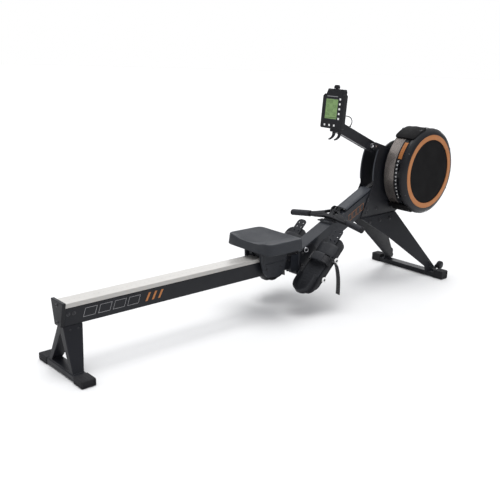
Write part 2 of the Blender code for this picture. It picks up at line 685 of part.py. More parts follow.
def make_footrest(sign, mats):
    """sign is 1 for the left foot: its pieces lie at negative x in the board frame."""
    side = side_name(sign)
    matrix = foot_matrix()
    x0, x1 = span(-sign, *BOARD_Y)
    board = prism(f"footboard_{side}", [rounded(x0, x1, -0.1650, 0.1720, 0.0400)],
                  -BOARD / 2, BOARD / 2, mats["plastic"], "XY")
    add_bevel(board, 0.0020)
    x0, x1 = span(-sign, *HEEL_Y)
    middle = (x0 + x1) / 2
    sole = BOARD / 2 + GAP
    tab = rounded(middle - 0.0300, middle + 0.0300, 0.1000, 0.2250, 0.0200)
    holes = [circle((middle + dx, dy), 0.0045, 8) for dx in (-0.0150, 0.0150)
             for dy in (0.1520, 0.1780, 0.2040)]
    heel = prism(f"heel_rest_{side}", [rounded(x0, x1, -0.1780, 0.1250, 0.0450, 6)],
                 sole, sole + 0.0050, mats["grey"], "XY")
    strip = prism(f"heel_strip_{side}", [tab] + holes, sole, sole + 0.0050, mats["grey"], "XY")
    add_boolean(heel, as_cutter(strip), "UNION")
    outer = arc((middle, -0.1250), (x1 - x0) / 2, 180.0, 360.0, 10)
    inner = arc((middle, -0.1250), (x1 - x0) / 2 - 0.0060, 360.0, 180.0, 10)
    lip = [(x1, -0.0700), (x1 - 0.0060, -0.0700)]
    other_lip = [(x0 + 0.0060, -0.0700), (x0, -0.0700)]
    cup = prism(f"heel_cup_{side}", [outer + lip + inner + other_lip], sole + 0.0010, sole + CUP_HEIGHT,
                mats["grey"], "XY")
    add_boolean(heel, as_cutter(cup), "UNION")
    for piece in (board, heel, cup, strip):
        piece.matrix_basis = matrix
    half = (x1 - x0) / 2
    outer_band = strap_arch(half + 0.0090, half - 0.0150, 0.0)
    inner_band = strap_arch(half + 0.0070, half - 0.0170, 0.0020)
    outline = [(middle + a, sole + b) for a, b in outer_band + inner_band[::-1]]
    strap = prism(f"foot_strap_{side}", [outline], -STRAP_HALF, STRAP_HALF, mats["webbing"])
    strap.matrix_basis = matrix @ Matrix.Translation((0.0, 0.0300, 0.0))


def make_cross_bars(mats):
    for label, centre in (("upper", BAR_HIGH), ("lower", BAR_LOW)):
        rod_y(f"footrest_bar_{label}", centre[0], centre[1], BAR_RADIUS, (-BAR_HALF, BAR_HALF),
              mats["zinc"])


# ---- handle and belt ----------------------------------------------------
def make_handle(mats):
    half = [(0.0, YOKE_NOSE), (0.0180, 0.0850), (0.0620, 0.0610), (0.1000, 0.0450), (0.1320, 0.0340),
            (0.1340, 0.0100), (0.0900, 0.0140), (0.0450, 0.0220), (0.0, 0.0260)]
    outline = half + [(-a, b) for a, b in reversed(half[1:-1])]
    slots = [[(s * 0.0140, 0.0720), (s * 0.0260, 0.0700), (s * 0.0460, 0.0580), (s * 0.0460, 0.0470),
              (s * 0.0140, 0.0470)] for s in (1, -1)]
    yoke = prism("handle_yoke", [outline] + slots, -0.0090, 0.0090, mats["plastic"], "XY")
    add_bevel(yoke, 0.0035)
    yoke.matrix_basis = leaning_frame(HANDLE_TILT, (HANDLE_X, 0.0, HANDLE_Z))
    pieces = [yoke]
    for sign in (1, -1):
        start = Vector(handle_plane_point(sign * 0.1375, 0.0215))
        end = Vector(handle_plane_point(sign * GRIP_END, 0.0))
        grip = tube(f"handle_grip_{side_name(sign)}", [start, end], GRIP_RADIUS, mats["rubber"], 4)
        pieces.append(grip)
    handle = empty("handle_origin", (HANDLE_X, 0.0, HANDLE_Z))
    hang(pieces[1:], handle)
    start = Vector(handle_plane_point(0.0, YOKE_NOSE + 0.0006))
    end = Vector((FAN_X - 0.0130, 0.0, FAN_Z + 0.0285))
    mouth = Vector((MOUTH_X, 0.0, boom_top(MOUTH_X) + 0.0060))
    exit_high = Vector((BOOM_FRONT_X, 0.0, boom_top(BOOM_FRONT_X) + 0.0050))
    route = [start, mouth, exit_high, end]
    lower = [(p.x, p.z - 0.0008) for p in route]
    upper = [(p.x, p.z + 0.0008) for p in reversed(route)]
    prism("pull_belt", [lower + upper], -0.0120, 0.0120, mats["webbing"])


# ---- monitor ------------------------------------------------------------
def make_monitor_arm(mats):
    along = Vector((-math.cos(ARM_SLOPE), math.sin(ARM_SLOPE)))
    across = Vector((math.sin(ARM_SLOPE), math.cos(ARM_SLOPE)))
    pivot = Vector(ARM_PIVOT)
    corners = [(-0.0300, -0.5), (-0.0300, 0.5), (ARM_LENGTH - 0.0300, 0.5), (ARM_LENGTH, 0.20),
               (ARM_LENGTH, -0.5)]
    inside = [(-0.0400, -0.44), (-0.0400, 0.44), (ARM_LENGTH - 0.0400, 0.44), (ARM_LENGTH - 0.0400, -0.44)]

    def shape(spots):
        places = [pivot + along * distance + across * side * ARM_DEPTH for distance, side in spots]
        return [(spot.x, spot.y) for spot in places]

    outline = shape(corners)
    arm = prism("monitor_arm", [outline, circle(ARM_PIVOT, 0.0053)], -ARM_HALF, ARM_HALF, mats["frame"])
    add_bevel(arm, 0.0025, angle=60.0)
    hollow = prism("arm_hollow", [shape(inside)], -ARM_HALF + ARM_WALL, ARM_HALF - ARM_WALL, mats["frame"])
    add_boolean(arm, as_cutter(hollow))
    pin_hole = rod_y("tilt_hole", TILT_AXIS[0], TILT_AXIS[1], 0.0043, (-0.03, 0.03), mats["frame"], 12)
    add_boolean(arm, as_cutter(pin_hole))
    set_origin(arm, (ARM_PIVOT[0], 0.0, ARM_PIVOT[1]))


def monitor_frame():
    """Monitor frame: x to the right, y up the screen, z out towards the rower."""
    return leaning_frame(math.radians(90.0) - MONITOR_TILT, MONITOR_CORNER)


def make_monitor(mats):
    matrix = monitor_frame()
    top = 0.1730
    hump = [(0.0650, top), (0.0650, 0.1880), (0.0600, 0.2000), (-0.0400, 0.2000), (-0.0450, 0.1880),
            (-0.0500, top)]
    half = MONITOR_HALF
    face = [(half, 0.0060), (half, top - 0.004), (half - 0.004, top)] + hump
    face += [(-half + 0.010, top), (-half, top - 0.012), (-half, 0.0060), (-half + 0.006, 0.0),
             (half - 0.006, 0.0)]
    housing = prism("monitor_housing", [face], -0.0300, 0.0, mats["plastic"], "XY")
    add_bevel(housing, 0.0020, angle=60.0)
    lens_low, lens_high = (-0.0460, 0.0490), (0.0340, 0.1490)
    recess = box("lens_recess", (lens_low[0] - GAP, lens_high[0] + GAP),
                 (lens_low[1] - GAP, lens_high[1] + GAP), (-0.0030, 0.01), mats["plastic"])
    add_boolean(housing, as_cutter(recess))
    lens = box("monitor_screen", (lens_low[0], lens_high[0]), (lens_low[1], lens_high[1]),
               (-0.0027, -0.0004), mats["screen"])
    pieces = [housing, recess, lens]
    spots = [(0.0475, 0.1500 - 0.0243 * i) for i in range(5)]
    spots += [(-0.0410 + 0.0320 * i, 0.0170) for i in range(3)]
    for number, (x, y) in enumerate(spots, 1):
        hole = BUTTON_HALF + GAP
        well = box(f"button_well_{number}", (x - hole, x + hole), (y - hole, y + hole),
                   (-0.0050, 0.01), mats["plastic"])
        add_boolean(housing, as_cutter(well))
        button = box(f"monitor_button_{number}", (x - BUTTON_HALF, x + BUTTON_HALF),
                     (y - BUTTON_HALF, y + BUTTON_HALF), (-0.0035, 0.0015), mats["button"])
        pieces += [well, button]
    clip_shape = [(0.0180, 0.2010), (0.0180, 0.2120), (0.0120, 0.2200), (-0.0040, 0.2200),
                  (-0.0100, 0.2120), (-0.0100, 0.2010)]
    stem = box("clip_stem", (-0.0040, 0.0120), (0.1750, 0.2050), (-0.0180, -0.0140), mats["grey"])
    slot = box("clip_slot", (-0.0040 - GAP, 0.0120 + GAP), (0.1740, 0.21), (-0.0180 - GAP, -0.0140 + GAP),
               mats["grey"])
    clip = prism("device_clip", [clip_shape], -0.0240, -0.0080, mats["grey"], "XY")
    add_boolean(clip, as_cutter(stem), "UNION")
    add_boolean(housing, as_cutter(slot))
    pieces += [clip, stem, slot]
    for obj in pieces:
        obj.matrix_basis = matrix
    for sign in (1, -1):
        low, high = sorted((-sign * 0.0185, -sign * 0.0235))
        ear_shape = arc(TILT_AXIS, 0.0130, -80.0, 80.0, 6) + [(0.3640, 0.9320), (0.3600, 0.9060)]
        ear = prism(f"monitor_ear_{side_name(sign)}", [ear_shape], low, high, mats["plastic"])
        add_boolean(housing, as_cutter(ear), "UNION")
    pin = rod_y("monitor_pin", TILT_AXIS[0], TILT_AXIS[1], 0.0040, (-0.0250, 0.0250), mats["zinc"], 12)
    add_boolean(housing, as_cutter(pin), "UNION")
    tilt = empty("monitor_tilt", (TILT_AXIS[0], 0.0, TILT_AXIS[1]))
    hang([housing, lens], tilt)


def cable_route():
    """Loop from the back of the monitor out and down into the top of the arm."""
    return [(0.3752, -0.0300, 0.9666), (0.3840, -0.0300, 0.9680), (0.4000, -0.0295, 0.9695),
            (0.4200, -0.0285, 0.9700), (0.4400, -0.0270, 0.9680), (0.4590, -0.0250, 0.9625),
            (0.4740, -0.0225, 0.9540), (0.4840, -0.0200, 0.9425), (0.4875, -0.0170, 0.9310),
            (0.4866, -0.0140, 0.9217), (0.4832, -0.0120, 0.9145)]


def smooth_route(points, per_span):
    """Catmull-Rom curve through the route's own points."""
    result = []
    ends = [points[0]] + list(points) + [points[-1]]
    for i in range(1, len(ends) - 2):
        p0, p1, p2, p3 = (Vector(ends[i + k]) for k in (-1, 0, 1, 2))
        for step in range(per_span):
            t = step / per_span
            result.append(0.5 * (2 * p1 + (p2 - p0) * t + (2 * p0 - 5 * p1 + 4 * p2 - p3) * t * t
                                 + (3 * p1 - p0 - 3 * p2 + p3) * t ** 3))
    result.append(Vector(points[-1]))
    return result


def make_cable(mats):
    tube("monitor_cable", smooth_route(cable_route(), 2), CABLE_RADIUS, mats["rubber"], 2)


# ---- assembly -----------------------------------------------------------
def main():
    global parts, cutters
    clear_scene()
    parts = make_collection("rowing_machine")
    cutters = make_collection("cutters")
    mats = make_materials()
    make_rear_stand(mats)
    make_monorail(mats)
    make_boom(mats)
    make_tower(mats)
    make_front_stand(mats)
    make_fan(mats)
    make_seat(mats)
    for sign in (1, -1):
        make_footrest(sign, mats)
    make_cross_bars(mats)
    make_handle(mats)
    make_monitor_arm(mats)
    make_monitor(mats)
    make_cable(mats)


main()
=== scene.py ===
"""Looks of the rowing machine: materials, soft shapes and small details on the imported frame.

Everything is in metres in the frame of the CAD model: +X forward, +Y left, +Z up.
"""

import math

import bmesh
import bpy
from mathutils import Matrix, Vector


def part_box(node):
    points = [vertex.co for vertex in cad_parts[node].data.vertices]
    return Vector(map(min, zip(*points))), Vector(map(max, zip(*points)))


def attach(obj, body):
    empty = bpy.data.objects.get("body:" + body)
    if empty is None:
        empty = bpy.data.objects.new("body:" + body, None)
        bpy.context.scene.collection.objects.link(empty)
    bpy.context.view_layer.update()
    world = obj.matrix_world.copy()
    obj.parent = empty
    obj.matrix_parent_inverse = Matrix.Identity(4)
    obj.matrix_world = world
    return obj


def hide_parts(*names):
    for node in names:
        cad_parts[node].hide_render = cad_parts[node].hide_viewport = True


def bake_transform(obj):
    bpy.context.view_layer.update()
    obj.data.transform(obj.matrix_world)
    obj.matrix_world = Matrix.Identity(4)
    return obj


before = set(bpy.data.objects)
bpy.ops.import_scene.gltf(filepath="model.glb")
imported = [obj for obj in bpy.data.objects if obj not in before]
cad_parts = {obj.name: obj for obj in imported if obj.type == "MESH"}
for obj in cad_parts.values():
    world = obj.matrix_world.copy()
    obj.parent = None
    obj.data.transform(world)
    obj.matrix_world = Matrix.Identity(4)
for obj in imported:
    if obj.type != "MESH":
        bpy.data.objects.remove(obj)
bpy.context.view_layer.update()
scene = bpy.context.scene

# ---- driving places, read from the frame ----


def middle(node):
    low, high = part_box(node)
    return (low + high) / 2


FAN = Vector((middle("fan_band").x, 0.0, middle("fan_band").z))
SHELL = (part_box("fan_band")[1].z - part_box("fan_band")[0].z) / 2
BAR_UP = middle("footrest_bar_upper")
BAR_LOW = middle("footrest_bar_lower")
BAR_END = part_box("footrest_bar_upper")[1].y
RAIL_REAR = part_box("monorail_beam")[0].x
RAIL_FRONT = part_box("monorail_beam")[1].x
TRACK_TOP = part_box("rail_track")[1].z
SEAT = middle("seat_pad")
SEAT_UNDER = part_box("seat_pad")[0].z
SEAT_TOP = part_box("seat_pad")[1].z - 0.0015
SEAT_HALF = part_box("seat_pad")[1].y
TOWER_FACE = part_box("tower_plate_left")[1].y
# a printed mark: its lift off the surface and its thickness
GAP = 0.0004
FILM = 0.0003

COPPER = (0.4, 0.15, 0.042)
CHARCOAL = (0.0092, 0.0099, 0.0128)
BLACK = (0.0105, 0.011, 0.013)
SLATE = (0.022, 0.024, 0.029)


# ---- frames of reference ----
def axes(x_axis, y_axis, z_axis, origin):
    """A frame of reference from its three axes and its origin."""
    matrix = Matrix((x_axis, y_axis, z_axis)).transposed().to_4x4()
    matrix.translation = origin
    return matrix


def leaning_frame(slope, origin):
    """x to the right, y forward and up a slope, z out to the rear and up."""
    up = (math.cos(slope), 0.0, math.sin(slope))
    out = (-math.sin(slope), 0.0, math.cos(slope))
    return axes((0.0, -1.0, 0.0), up, out, origin)


def facing(point, normal):
    """z along the normal, at a point."""
    turn = Vector(normal).normalized().to_track_quat("Z", "Y").to_matrix().to_4x4()
    return Matrix.Translation(point) @ turn


def axle(point, sign):
    """z to the left (1) or the right (-1), at a point."""
    return Matrix.Translation(point) @ Matrix.Rotation(-sign * math.pi / 2, 4, "X")


def on_side(sign, y):
    """On an upright face to the left (1) or the right (-1): x forward, y up, z out of it."""
    return Matrix(((1, 0, 0, 0), (0, 0, sign, sign * y), (0, 1, 0, 0), (0, 0, 0, 1)))


def around_fan(radius, degrees, y):
    """A point around the fan's axle; degrees go from forward to up."""
    angle = math.radians(degrees)
    return Vector((FAN.x + radius * math.cos(angle), y, FAN.z + radius * math.sin(angle)))


def on_drum(radius, degrees, y):
    """On the fan's rim: x along the rim, y to the left, z out from the axle."""
    out = around_fan(1.0, degrees, 0.0) - Vector((FAN.x, 0.0, FAN.z))
    return axes(Vector((0.0, 1.0, 0.0)).cross(out), (0.0, 1.0, 0.0), out, around_fan(radius, degrees, y))


def boom_height(x):
    """Height of the boom's top line."""
    return BOOM_FOOT.z + BOOM_RISE * (x - BOOM_FOOT.x)


# x to the left, y up, z forward
ACROSS_RAIL = Matrix(((0, 0, 1, 0), (1, 0, 0, 0), (0, 1, 0, 0), (0, 0, 0, 1)))
SOLE_OFF = 0.0156
FOOT = leaning_frame(math.radians(45.0), (BAR_UP + BAR_LOW) / 2 + Vector((-1, 0, 1)).normalized() * SOLE_OFF)
HANDLE = leaning_frame(math.radians(34.0), (0.35, 0.0, 0.418))
MONITOR = leaning_frame(math.radians(86.0), (0.338, 0.0, 0.908))
BOOM_RISE = 0.4582
BOOM_FOOT = Vector((0.113, 0.0, 0.2975))
BOOM_SLOPE = math.atan(BOOM_RISE)
BOOM_HALF = 0.041
BOOM = leaning_frame(BOOM_SLOPE, BOOM_FOOT)
ARM_SLOPE = math.atan(0.4229)
ARM_PIVOT = Vector((0.666, 0.0, 0.799))


# ---- outlines ----
def arc(centre, radius, start, end, steps):
    points = []
    for i in range(steps + 1):
        angle = math.radians(start + (end - start) * i / steps)
        points.append((centre[0] + radius * math.cos(angle), centre[1] + radius * math.sin(angle)))
    return points


def rounded(x0, x1, y0, y1, radius, steps=4):
    points = []
    for cx, cy, start in ((x1 - radius, y1 - radius, 0.0), (x0 + radius, y1 - radius, 90.0),
                          (x0 + radius, y0 + radius, 180.0), (x1 - radius, y0 + radius, 270.0)):
        points += arc((cx, cy), radius, start, start + 90.0, steps)
    return points


def smooth_route(points, per_span):
    """Catmull-Rom curve through the points."""
    result = []
    ends = [points[0]] + list(points) + [points[-1]]
    for i in range(1, len(ends) - 2):
        p0, p1, p2, p3 = (Vector(ends[i + k]) for k in (-1, 0, 1, 2))
        for step in range(per_span):
            t = step / per_span
            result.append(0.5 * (2 * p1 + (p2 - p0) * t + (2 * p0 - 5 * p1 + 4 * p2 - p3) * t * t
                                 + (3 * p1 - p0 - 3 * p2 + p3) * t ** 3))
    result.append(Vector(points[-1]))
    return result


def band_section(half, thick, bulge):
    """A flat band: half its width, half its thickness, and how far its edges bulge."""
    one_side = [(-half, -thick), (half, -thick), (half + bulge, 0.0)]
    return one_side + [(-a, -b) for a, b in one_side]


def rib_section(foot, top, low, high):
    """A low rib: half widths at its foot and top, and the heights of both."""
    return [(-foot, low), (foot, low), (top, high), (-top, high)]


# ---- mesh tools ----
def stack_faces(count, rings):
    """Faces of the ends and the sides of a stack of rings, each with count points."""
    faces = [list(range(count))[::-1], [(rings - 1) * count + i for i in range(count)]]
    for base in range(0, (rings - 1) * count, count):
        for i in range(count):
            j = (i + 1) % count
            faces.append((base + i, base + j, base + count + j, base + count + i))
    return faces


class Shapes:
    """Collects closed shapes and makes one piece of them."""

    def __init__(self):
        self.mesh = bmesh.new()

    def add(self, verts, faces, matrix=Matrix.Identity(4)):
        made = [self.mesh.verts.new(matrix @ Vector(v)) for v in verts]
        for face in faces:
            self.mesh.faces.new([made[i] for i in face])
        return self

    def plate(self, outline, low, high, matrix=Matrix.Identity(4), crown=None):
        """An outline between two heights. crown is (inset, height) of a raised top."""
        count = len(outline)
        levels = [(low, outline), (high, outline)]
        if crown:
            cx = sum(p[0] for p in outline) / count
            cy = sum(p[1] for p in outline) / count
            reach = max(math.hypot(p[0] - cx, p[1] - cy) for p in outline)
            share = 1 - crown[0] / reach
            inset = [(cx + (a - cx) * share, cy + (b - cy) * share) for a, b in outline]
            levels.append((high + crown[1], inset))
        verts = [(a, b, z) for z, ring in levels for a, b in ring]
        return self.add(verts, stack_faces(count, len(levels)), matrix)

    def frame(self, outer, inner, low, high, matrix=Matrix.Identity(4)):
        """A rim between two outlines with as many points."""
        count = len(outer)
        verts = [(a, b, low) for a, b in outer] + [(a, b, high) for a, b in outer]
        verts += [(a, b, high) for a, b in inner] + [(a, b, low) for a, b in inner]
        faces = []
        for level in range(4):
            for i in range(count):
                j = (i + 1) % count
                a, b = level * count, (level + 1) % 4 * count
                faces.append((a + i, a + j, b + j, b + i))
        return self.add(verts, faces, matrix)

    def block(self, low, high, matrix=Matrix.Identity(4)):
        outline = [(low[0], low[1]), (high[0], low[1]), (high[0], high[1]), (low[0], high[1])]
        return self.plate(outline, low[2], high[2], matrix)

    def lathe(self, profile, matrix=Matrix.Identity(4), steps=24):
        """A profile of (radius, height), turned about z. Radius 0 at an end closes it."""
        rings = []
        verts = []
        for radius, height in profile:
            if radius < 1e-7:
                rings.append([len(verts)])
                verts.append((0.0, 0.0, height))
            else:
                rings.append([len(verts) + i for i in range(steps)])
                for i in range(steps):
                    angle = 2 * math.pi * i / steps
                    verts.append((radius * math.cos(angle), radius * math.sin(angle), height))
        faces = []
        closed = len(rings[0]) > 1
        pairs = list(zip(rings, rings[1:])) + ([(rings[-1], rings[0])] if closed else [])
        for a, b in pairs:
            for i in range(steps):
                j = (i + 1) % steps
                corners = [a[i % len(a)], a[j % len(a)], b[j % len(b)], b[i % len(b)]]
                face = list(dict.fromkeys(corners))
                if len(face) > 2:
                    faces.append(face)
        return self.add(verts, faces, matrix)

    def sweep(self, path, section, across=None, scale=None):
        """A closed section of (a, b) points carried along a path, a across it and b out of it."""
        points = [Vector(p) for p in path]
        verts = []
        side = Vector(across) if across else None
        for i, point in enumerate(points):
            along = (points[min(i + 1, len(points) - 1)] - points[max(i - 1, 0)]).normalized()
            if side is None:
                side = along.orthogonal().normalized()
            side = (side - along * side.dot(along)).normalized()
            out = along.cross(side)
            size = scale[i] if scale else 1.0
            verts += [point + side * a * size + out * b * size for a, b in section]
        return self.add(verts, stack_faces(len(section), len(points)))

    def tube(self, path, radius, steps=10, scale=None):
        return self.sweep(path, arc((0, 0), radius, 0, 360 * (steps - 1) / steps, steps - 1), scale=scale)

    def ring(self, centre, normal, radius, wire, steps=24):
        matrix = facing(centre, normal)
        profile = [(radius + wire * math.cos(t), wire * math.sin(t))
                   for t in (2 * math.pi * i / 8 for i in range(8))]
        return self.lathe(profile, matrix, steps)

    def bolt(self, point, normal, radius, height=None, washer=True, steps=16):
        """Button-head screw with a socket, on a washer."""
        high = height or radius * 0.62
        base = radius * 0.14 if washer else 0.0
        profile = [(0.0, 0.0)]
        if washer:
            profile += [(radius * 1.45, 0.0), (radius * 1.45, base * 0.8), (radius * 1.38, base)]
        profile += [(radius, base), (radius, base + high * 0.35), (radius * 0.88, base + high * 0.75),
                    (radius * 0.62, base + high), (radius * 0.5, base + high),
                    (radius * 0.46, base + high * 0.35), (0.0, base + high * 0.3)]
        return self.lathe(profile, facing(point, normal), steps)

    def piece(self, name, look, body="frame", slot=None, bevel=0.0, segments=2, angle=35.0, subdivide=0):
        """One mesh. It rides on a body. A slot is worked out, the look's own one unless it is given, but
        nothing uses it.
        """
        bmesh.ops.recalc_face_normals(self.mesh, faces=self.mesh.faces)
        data = bpy.data.meshes.new(name)
        self.mesh.to_mesh(data)
        self.mesh.free()
        obj = bpy.data.objects.new(name, data)
        scene.collection.objects.link(obj)
        data.materials.append(LOOK[look])
        data.shade_smooth()
        if subdivide:
            extra = obj.modifiers.new("subdivide", "SUBSURF")
            extra.levels = subdivide
            extra.render_levels = subdivide
        elif bevel:
            round_edges(obj, bevel, segments, angle)
        else:
            data.set_sharp_from_angle(angle=math.radians(angle))
        if body:
            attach(obj, body)
        if slot is None:
            slot = SLOT.get(look)
        return obj


def round_edges(obj, width, segments=2, angle=35.0):
    bevel = obj.modifiers.new("round", "BEVEL")
    bevel.width = width
    bevel.segments = segments
    bevel.limit_method = "ANGLE"
    bevel.angle_limit = math.radians(angle)
    bevel.harden_normals = False
    normals = obj.modifiers.new("normals", "WEIGHTED_NORMAL")
    normals.keep_sharp = True
    return obj


# ---- materials ----
class Finish:
    """A Principled material whose colour, roughness and relief vary over the surface."""

    def __init__(self, name, colour, roughness, metallic=0.0, **sockets):
        self.mat = bpy.data.materials.new(name)
        self.mat.use_nodes = True
        self.tree = self.mat.node_tree
        self.shader = self.tree.nodes["Principled BSDF"]
        self.shader.inputs["Metallic"].default_value = metallic
        for key, value in sockets.items():
            self.shader.inputs[key.replace("_", " ")].default_value = value
        self.place = self.make("ShaderNodeTexCoord").outputs["Object"]
        self.base = colour
        self.rough = roughness
        self.colour = None
        self.height = None

    def make(self, kind, **settings):
        node = self.tree.nodes.new(kind)
        for key, value in settings.items():
            setattr(node, key, value)
        return node

    def link(self, source, target):
        self.tree.links.new(source, target)

    def maths(self, operation, first, second=None, clamp=False):
        node = self.make("ShaderNodeMath", operation=operation, use_clamp=clamp)
        for socket, value in zip(node.inputs, (first, second)):
            if value is None:
                continue
            if isinstance(value, (int, float)):
                socket.default_value = value
            else:
                self.link(value, socket)
        return node.outputs[0]

    def scaled(self, stretch):
        mapping = self.make("ShaderNodeMapping")
        mapping.inputs["Scale"].default_value = stretch
        self.link(self.place, mapping.inputs["Vector"])
        return mapping.outputs[0]

    def noise(self, scale, detail=3.0, stretch=(1, 1, 1), rough=0.5):
        node = self.make("ShaderNodeTexNoise")
        node.inputs["Scale"].default_value = scale
        node.inputs["Detail"].default_value = detail
        node.inputs["Roughness"].default_value = rough
        self.link(self.scaled(stretch), node.inputs["Vector"])
        return node.outputs["Fac"]

    def cells(self, scale, stretch=(1, 1, 1)):
        node = self.make("ShaderNodeTexVoronoi")
        node.inputs["Scale"].default_value = scale
        self.link(self.scaled(stretch), node.inputs["Vector"])
        return node.outputs["Distance"]

    def span(self, value, low, high, to_low=0.0, to_high=1.0):
        node = self.make("ShaderNodeMapRange")
        self.link(value, node.inputs["Value"])
        for key, number in zip(("From Min", "From Max", "To Min", "To Max"), (low, high, to_low, to_high)):
            node.inputs[key].default_value = number
        return node.outputs[0]

    def tint(self, mask, colour):
        """Blends a colour over what is there, where the mask is 1."""
        node = self.make("ShaderNodeMix", data_type="RGBA")
        self.link(mask, node.inputs["Factor"])
        if self.colour is None:
            node.inputs["A"].default_value = (*self.base, 1.0)
        else:
            self.link(self.colour, node.inputs["A"])
        node.inputs["B"].default_value = (*colour, 1.0)
        self.colour = node.outputs["Result"]
        return self

    def mottle(self, scale, amount, stretch=(1, 1, 1)):
        """Slow change of the base colour, darker and lighter by a share."""
        fac = self.span(self.noise(scale, 5.0, stretch), 0.3, 0.7)
        self.tint(fac, tuple(min(1.0, c * (1 + amount)) for c in self.base))
        dark = self.span(self.noise(scale * 2.7, 4.0, stretch), 0.55, 0.75, 0.0, 0.8)
        return self.tint(dark, tuple(c * (1 - amount) for c in self.base))

    def raise_by(self, value, depth):
        """Adds relief of a depth in metres."""
        bump = self.make("ShaderNodeBump")
        bump.inputs["Distance"].default_value = depth
        self.link(value, bump.inputs["Height"])
        if self.height is not None:
            self.link(self.height, bump.inputs["Normal"])
        self.height = bump.outputs["Normal"]
        return self

    def wear_and_edge_highlight(self, colour, width=0.0012, amount=0.75):
        """Lighter line along edges, broken up by noise: partly rubbed wear, partly a painted highlight where
        edges catch the light.
        """
        round_off = self.make("ShaderNodeBevel", samples=4)
        round_off.inputs["Radius"].default_value = width
        flat = self.make("ShaderNodeNewGeometry")
        dot = self.make("ShaderNodeVectorMath", operation="DOT_PRODUCT")
        self.link(round_off.outputs["Normal"], dot.inputs[0])
        self.link(flat.outputs["Normal"], dot.inputs[1])
        edge = self.span(dot.outputs["Value"], 0.995, 0.9)
        patchy = self.span(self.noise(38.0, 6.0), 0.42, 0.66, 0.15, amount)
        return self.tint(self.maths("MULTIPLY", edge, patchy, clamp=True), colour)

    def done(self, spread=0.07, scale=14.0):
        if self.colour is not None:
            self.link(self.colour, self.shader.inputs["Base Color"])
        else:
            self.shader.inputs["Base Color"].default_value = (*self.base, 1.0)
        rough = self.span(self.noise(scale, 6.0), 0.3, 0.7, self.rough - spread, self.rough + spread)
        self.link(rough, self.shader.inputs["Roughness"])
        if self.height is not None:
            self.link(self.height, self.shader.inputs["Normal"])
        return self.mat


def powder_coat(name, colour, roughness=0.42):
    finish = Finish(name, colour, roughness, Specular_IOR_Level=0.22).mottle(3.0, 0.1)
    finish.raise_by(finish.noise(1500.0, 2.0), 0.0001)
    finish.raise_by(finish.noise(260.0, 2.0), 0.00012)
    finish.wear_and_edge_highlight(tuple(min(1.0, c * 3.2 + 0.02) for c in colour))
    return finish.done()


def moulded(name, colour, roughness=0.5, grain=900.0, depth=0.00012, edge=True, gloss=0.22):
    finish = Finish(name, colour, roughness, Specular_IOR_Level=gloss).mottle(6.0, 0.12)
    finish.raise_by(finish.cells(grain), depth)
    finish.raise_by(finish.noise(70.0, 3.0), 0.00015)
    if edge:
        finish.wear_and_edge_highlight(tuple(min(1.0, c * 2.2 + 0.012) for c in colour), amount=0.6)
    return finish.done()


def brushed(name, colour, roughness, stretch, depth=0.00003, scuffs=True):
    finish = Finish(name, colour, roughness, 1.0).mottle(2.0, 0.05)
    lines = finish.noise(900.0, 3.0, stretch)
    finish.raise_by(lines, depth)
    finish.tint(finish.span(lines, 0.35, 0.75, 0.0, 0.45), tuple(c * 0.82 for c in colour))
    if scuffs:
        scuff = finish.span(finish.noise(60.0, 8.0, (0.3, 1, 1), 0.7), 0.62, 0.72, 0.0, 0.5)
        finish.tint(scuff, tuple(c * 0.7 for c in colour))
    return finish.done(0.06, 40.0)


def satin_track(name, colour):
    """Brushed alloy with a clear satin finish, lines running along the rail."""
    finish = Finish(name, colour, 0.36, 0.4).mottle(2.0, 0.03)
    lines = finish.noise(700.0, 3.0, (0.008, 1, 1))
    finish.raise_by(lines, 0.00003)
    finish.tint(finish.span(lines, 0.4, 0.75, 0.0, 0.35), tuple(c * 0.9 for c in colour))
    return finish.done(0.06, 40.0)


def webbing(name, colour):
    """Plain weave: ribs across the strap, yarns along it."""
    finish = Finish(name, colour, 0.82).mottle(30.0, 0.25)
    finish.shader.inputs["Sheen Weight"].default_value = 0.25
    finish.shader.inputs["Sheen Roughness"].default_value = 0.4
    waves = []
    for direction, scale in (("X", 380.0), ("Y", 520.0), ("Z", 380.0)):
        wave = finish.make("ShaderNodeTexWave", bands_direction=direction)
        wave.inputs["Scale"].default_value = scale
        wave.inputs["Distortion"].default_value = 0.6
        finish.link(finish.place, wave.inputs["Vector"])
        waves.append(wave.outputs["Fac"])
    cross = finish.maths("MULTIPLY", waves[1], finish.maths("ADD", waves[0], waves[2]))
    finish.raise_by(cross, 0.0004)
    # the raised yarns are tinted lighter: a painted highlight on the weave's crests
    finish.tint(finish.span(cross, 0.2, 1.6, 0.0, 0.6), tuple(min(1.0, c * 2.4 + 0.01) for c in colour))
    return finish.done(0.05, 60.0)


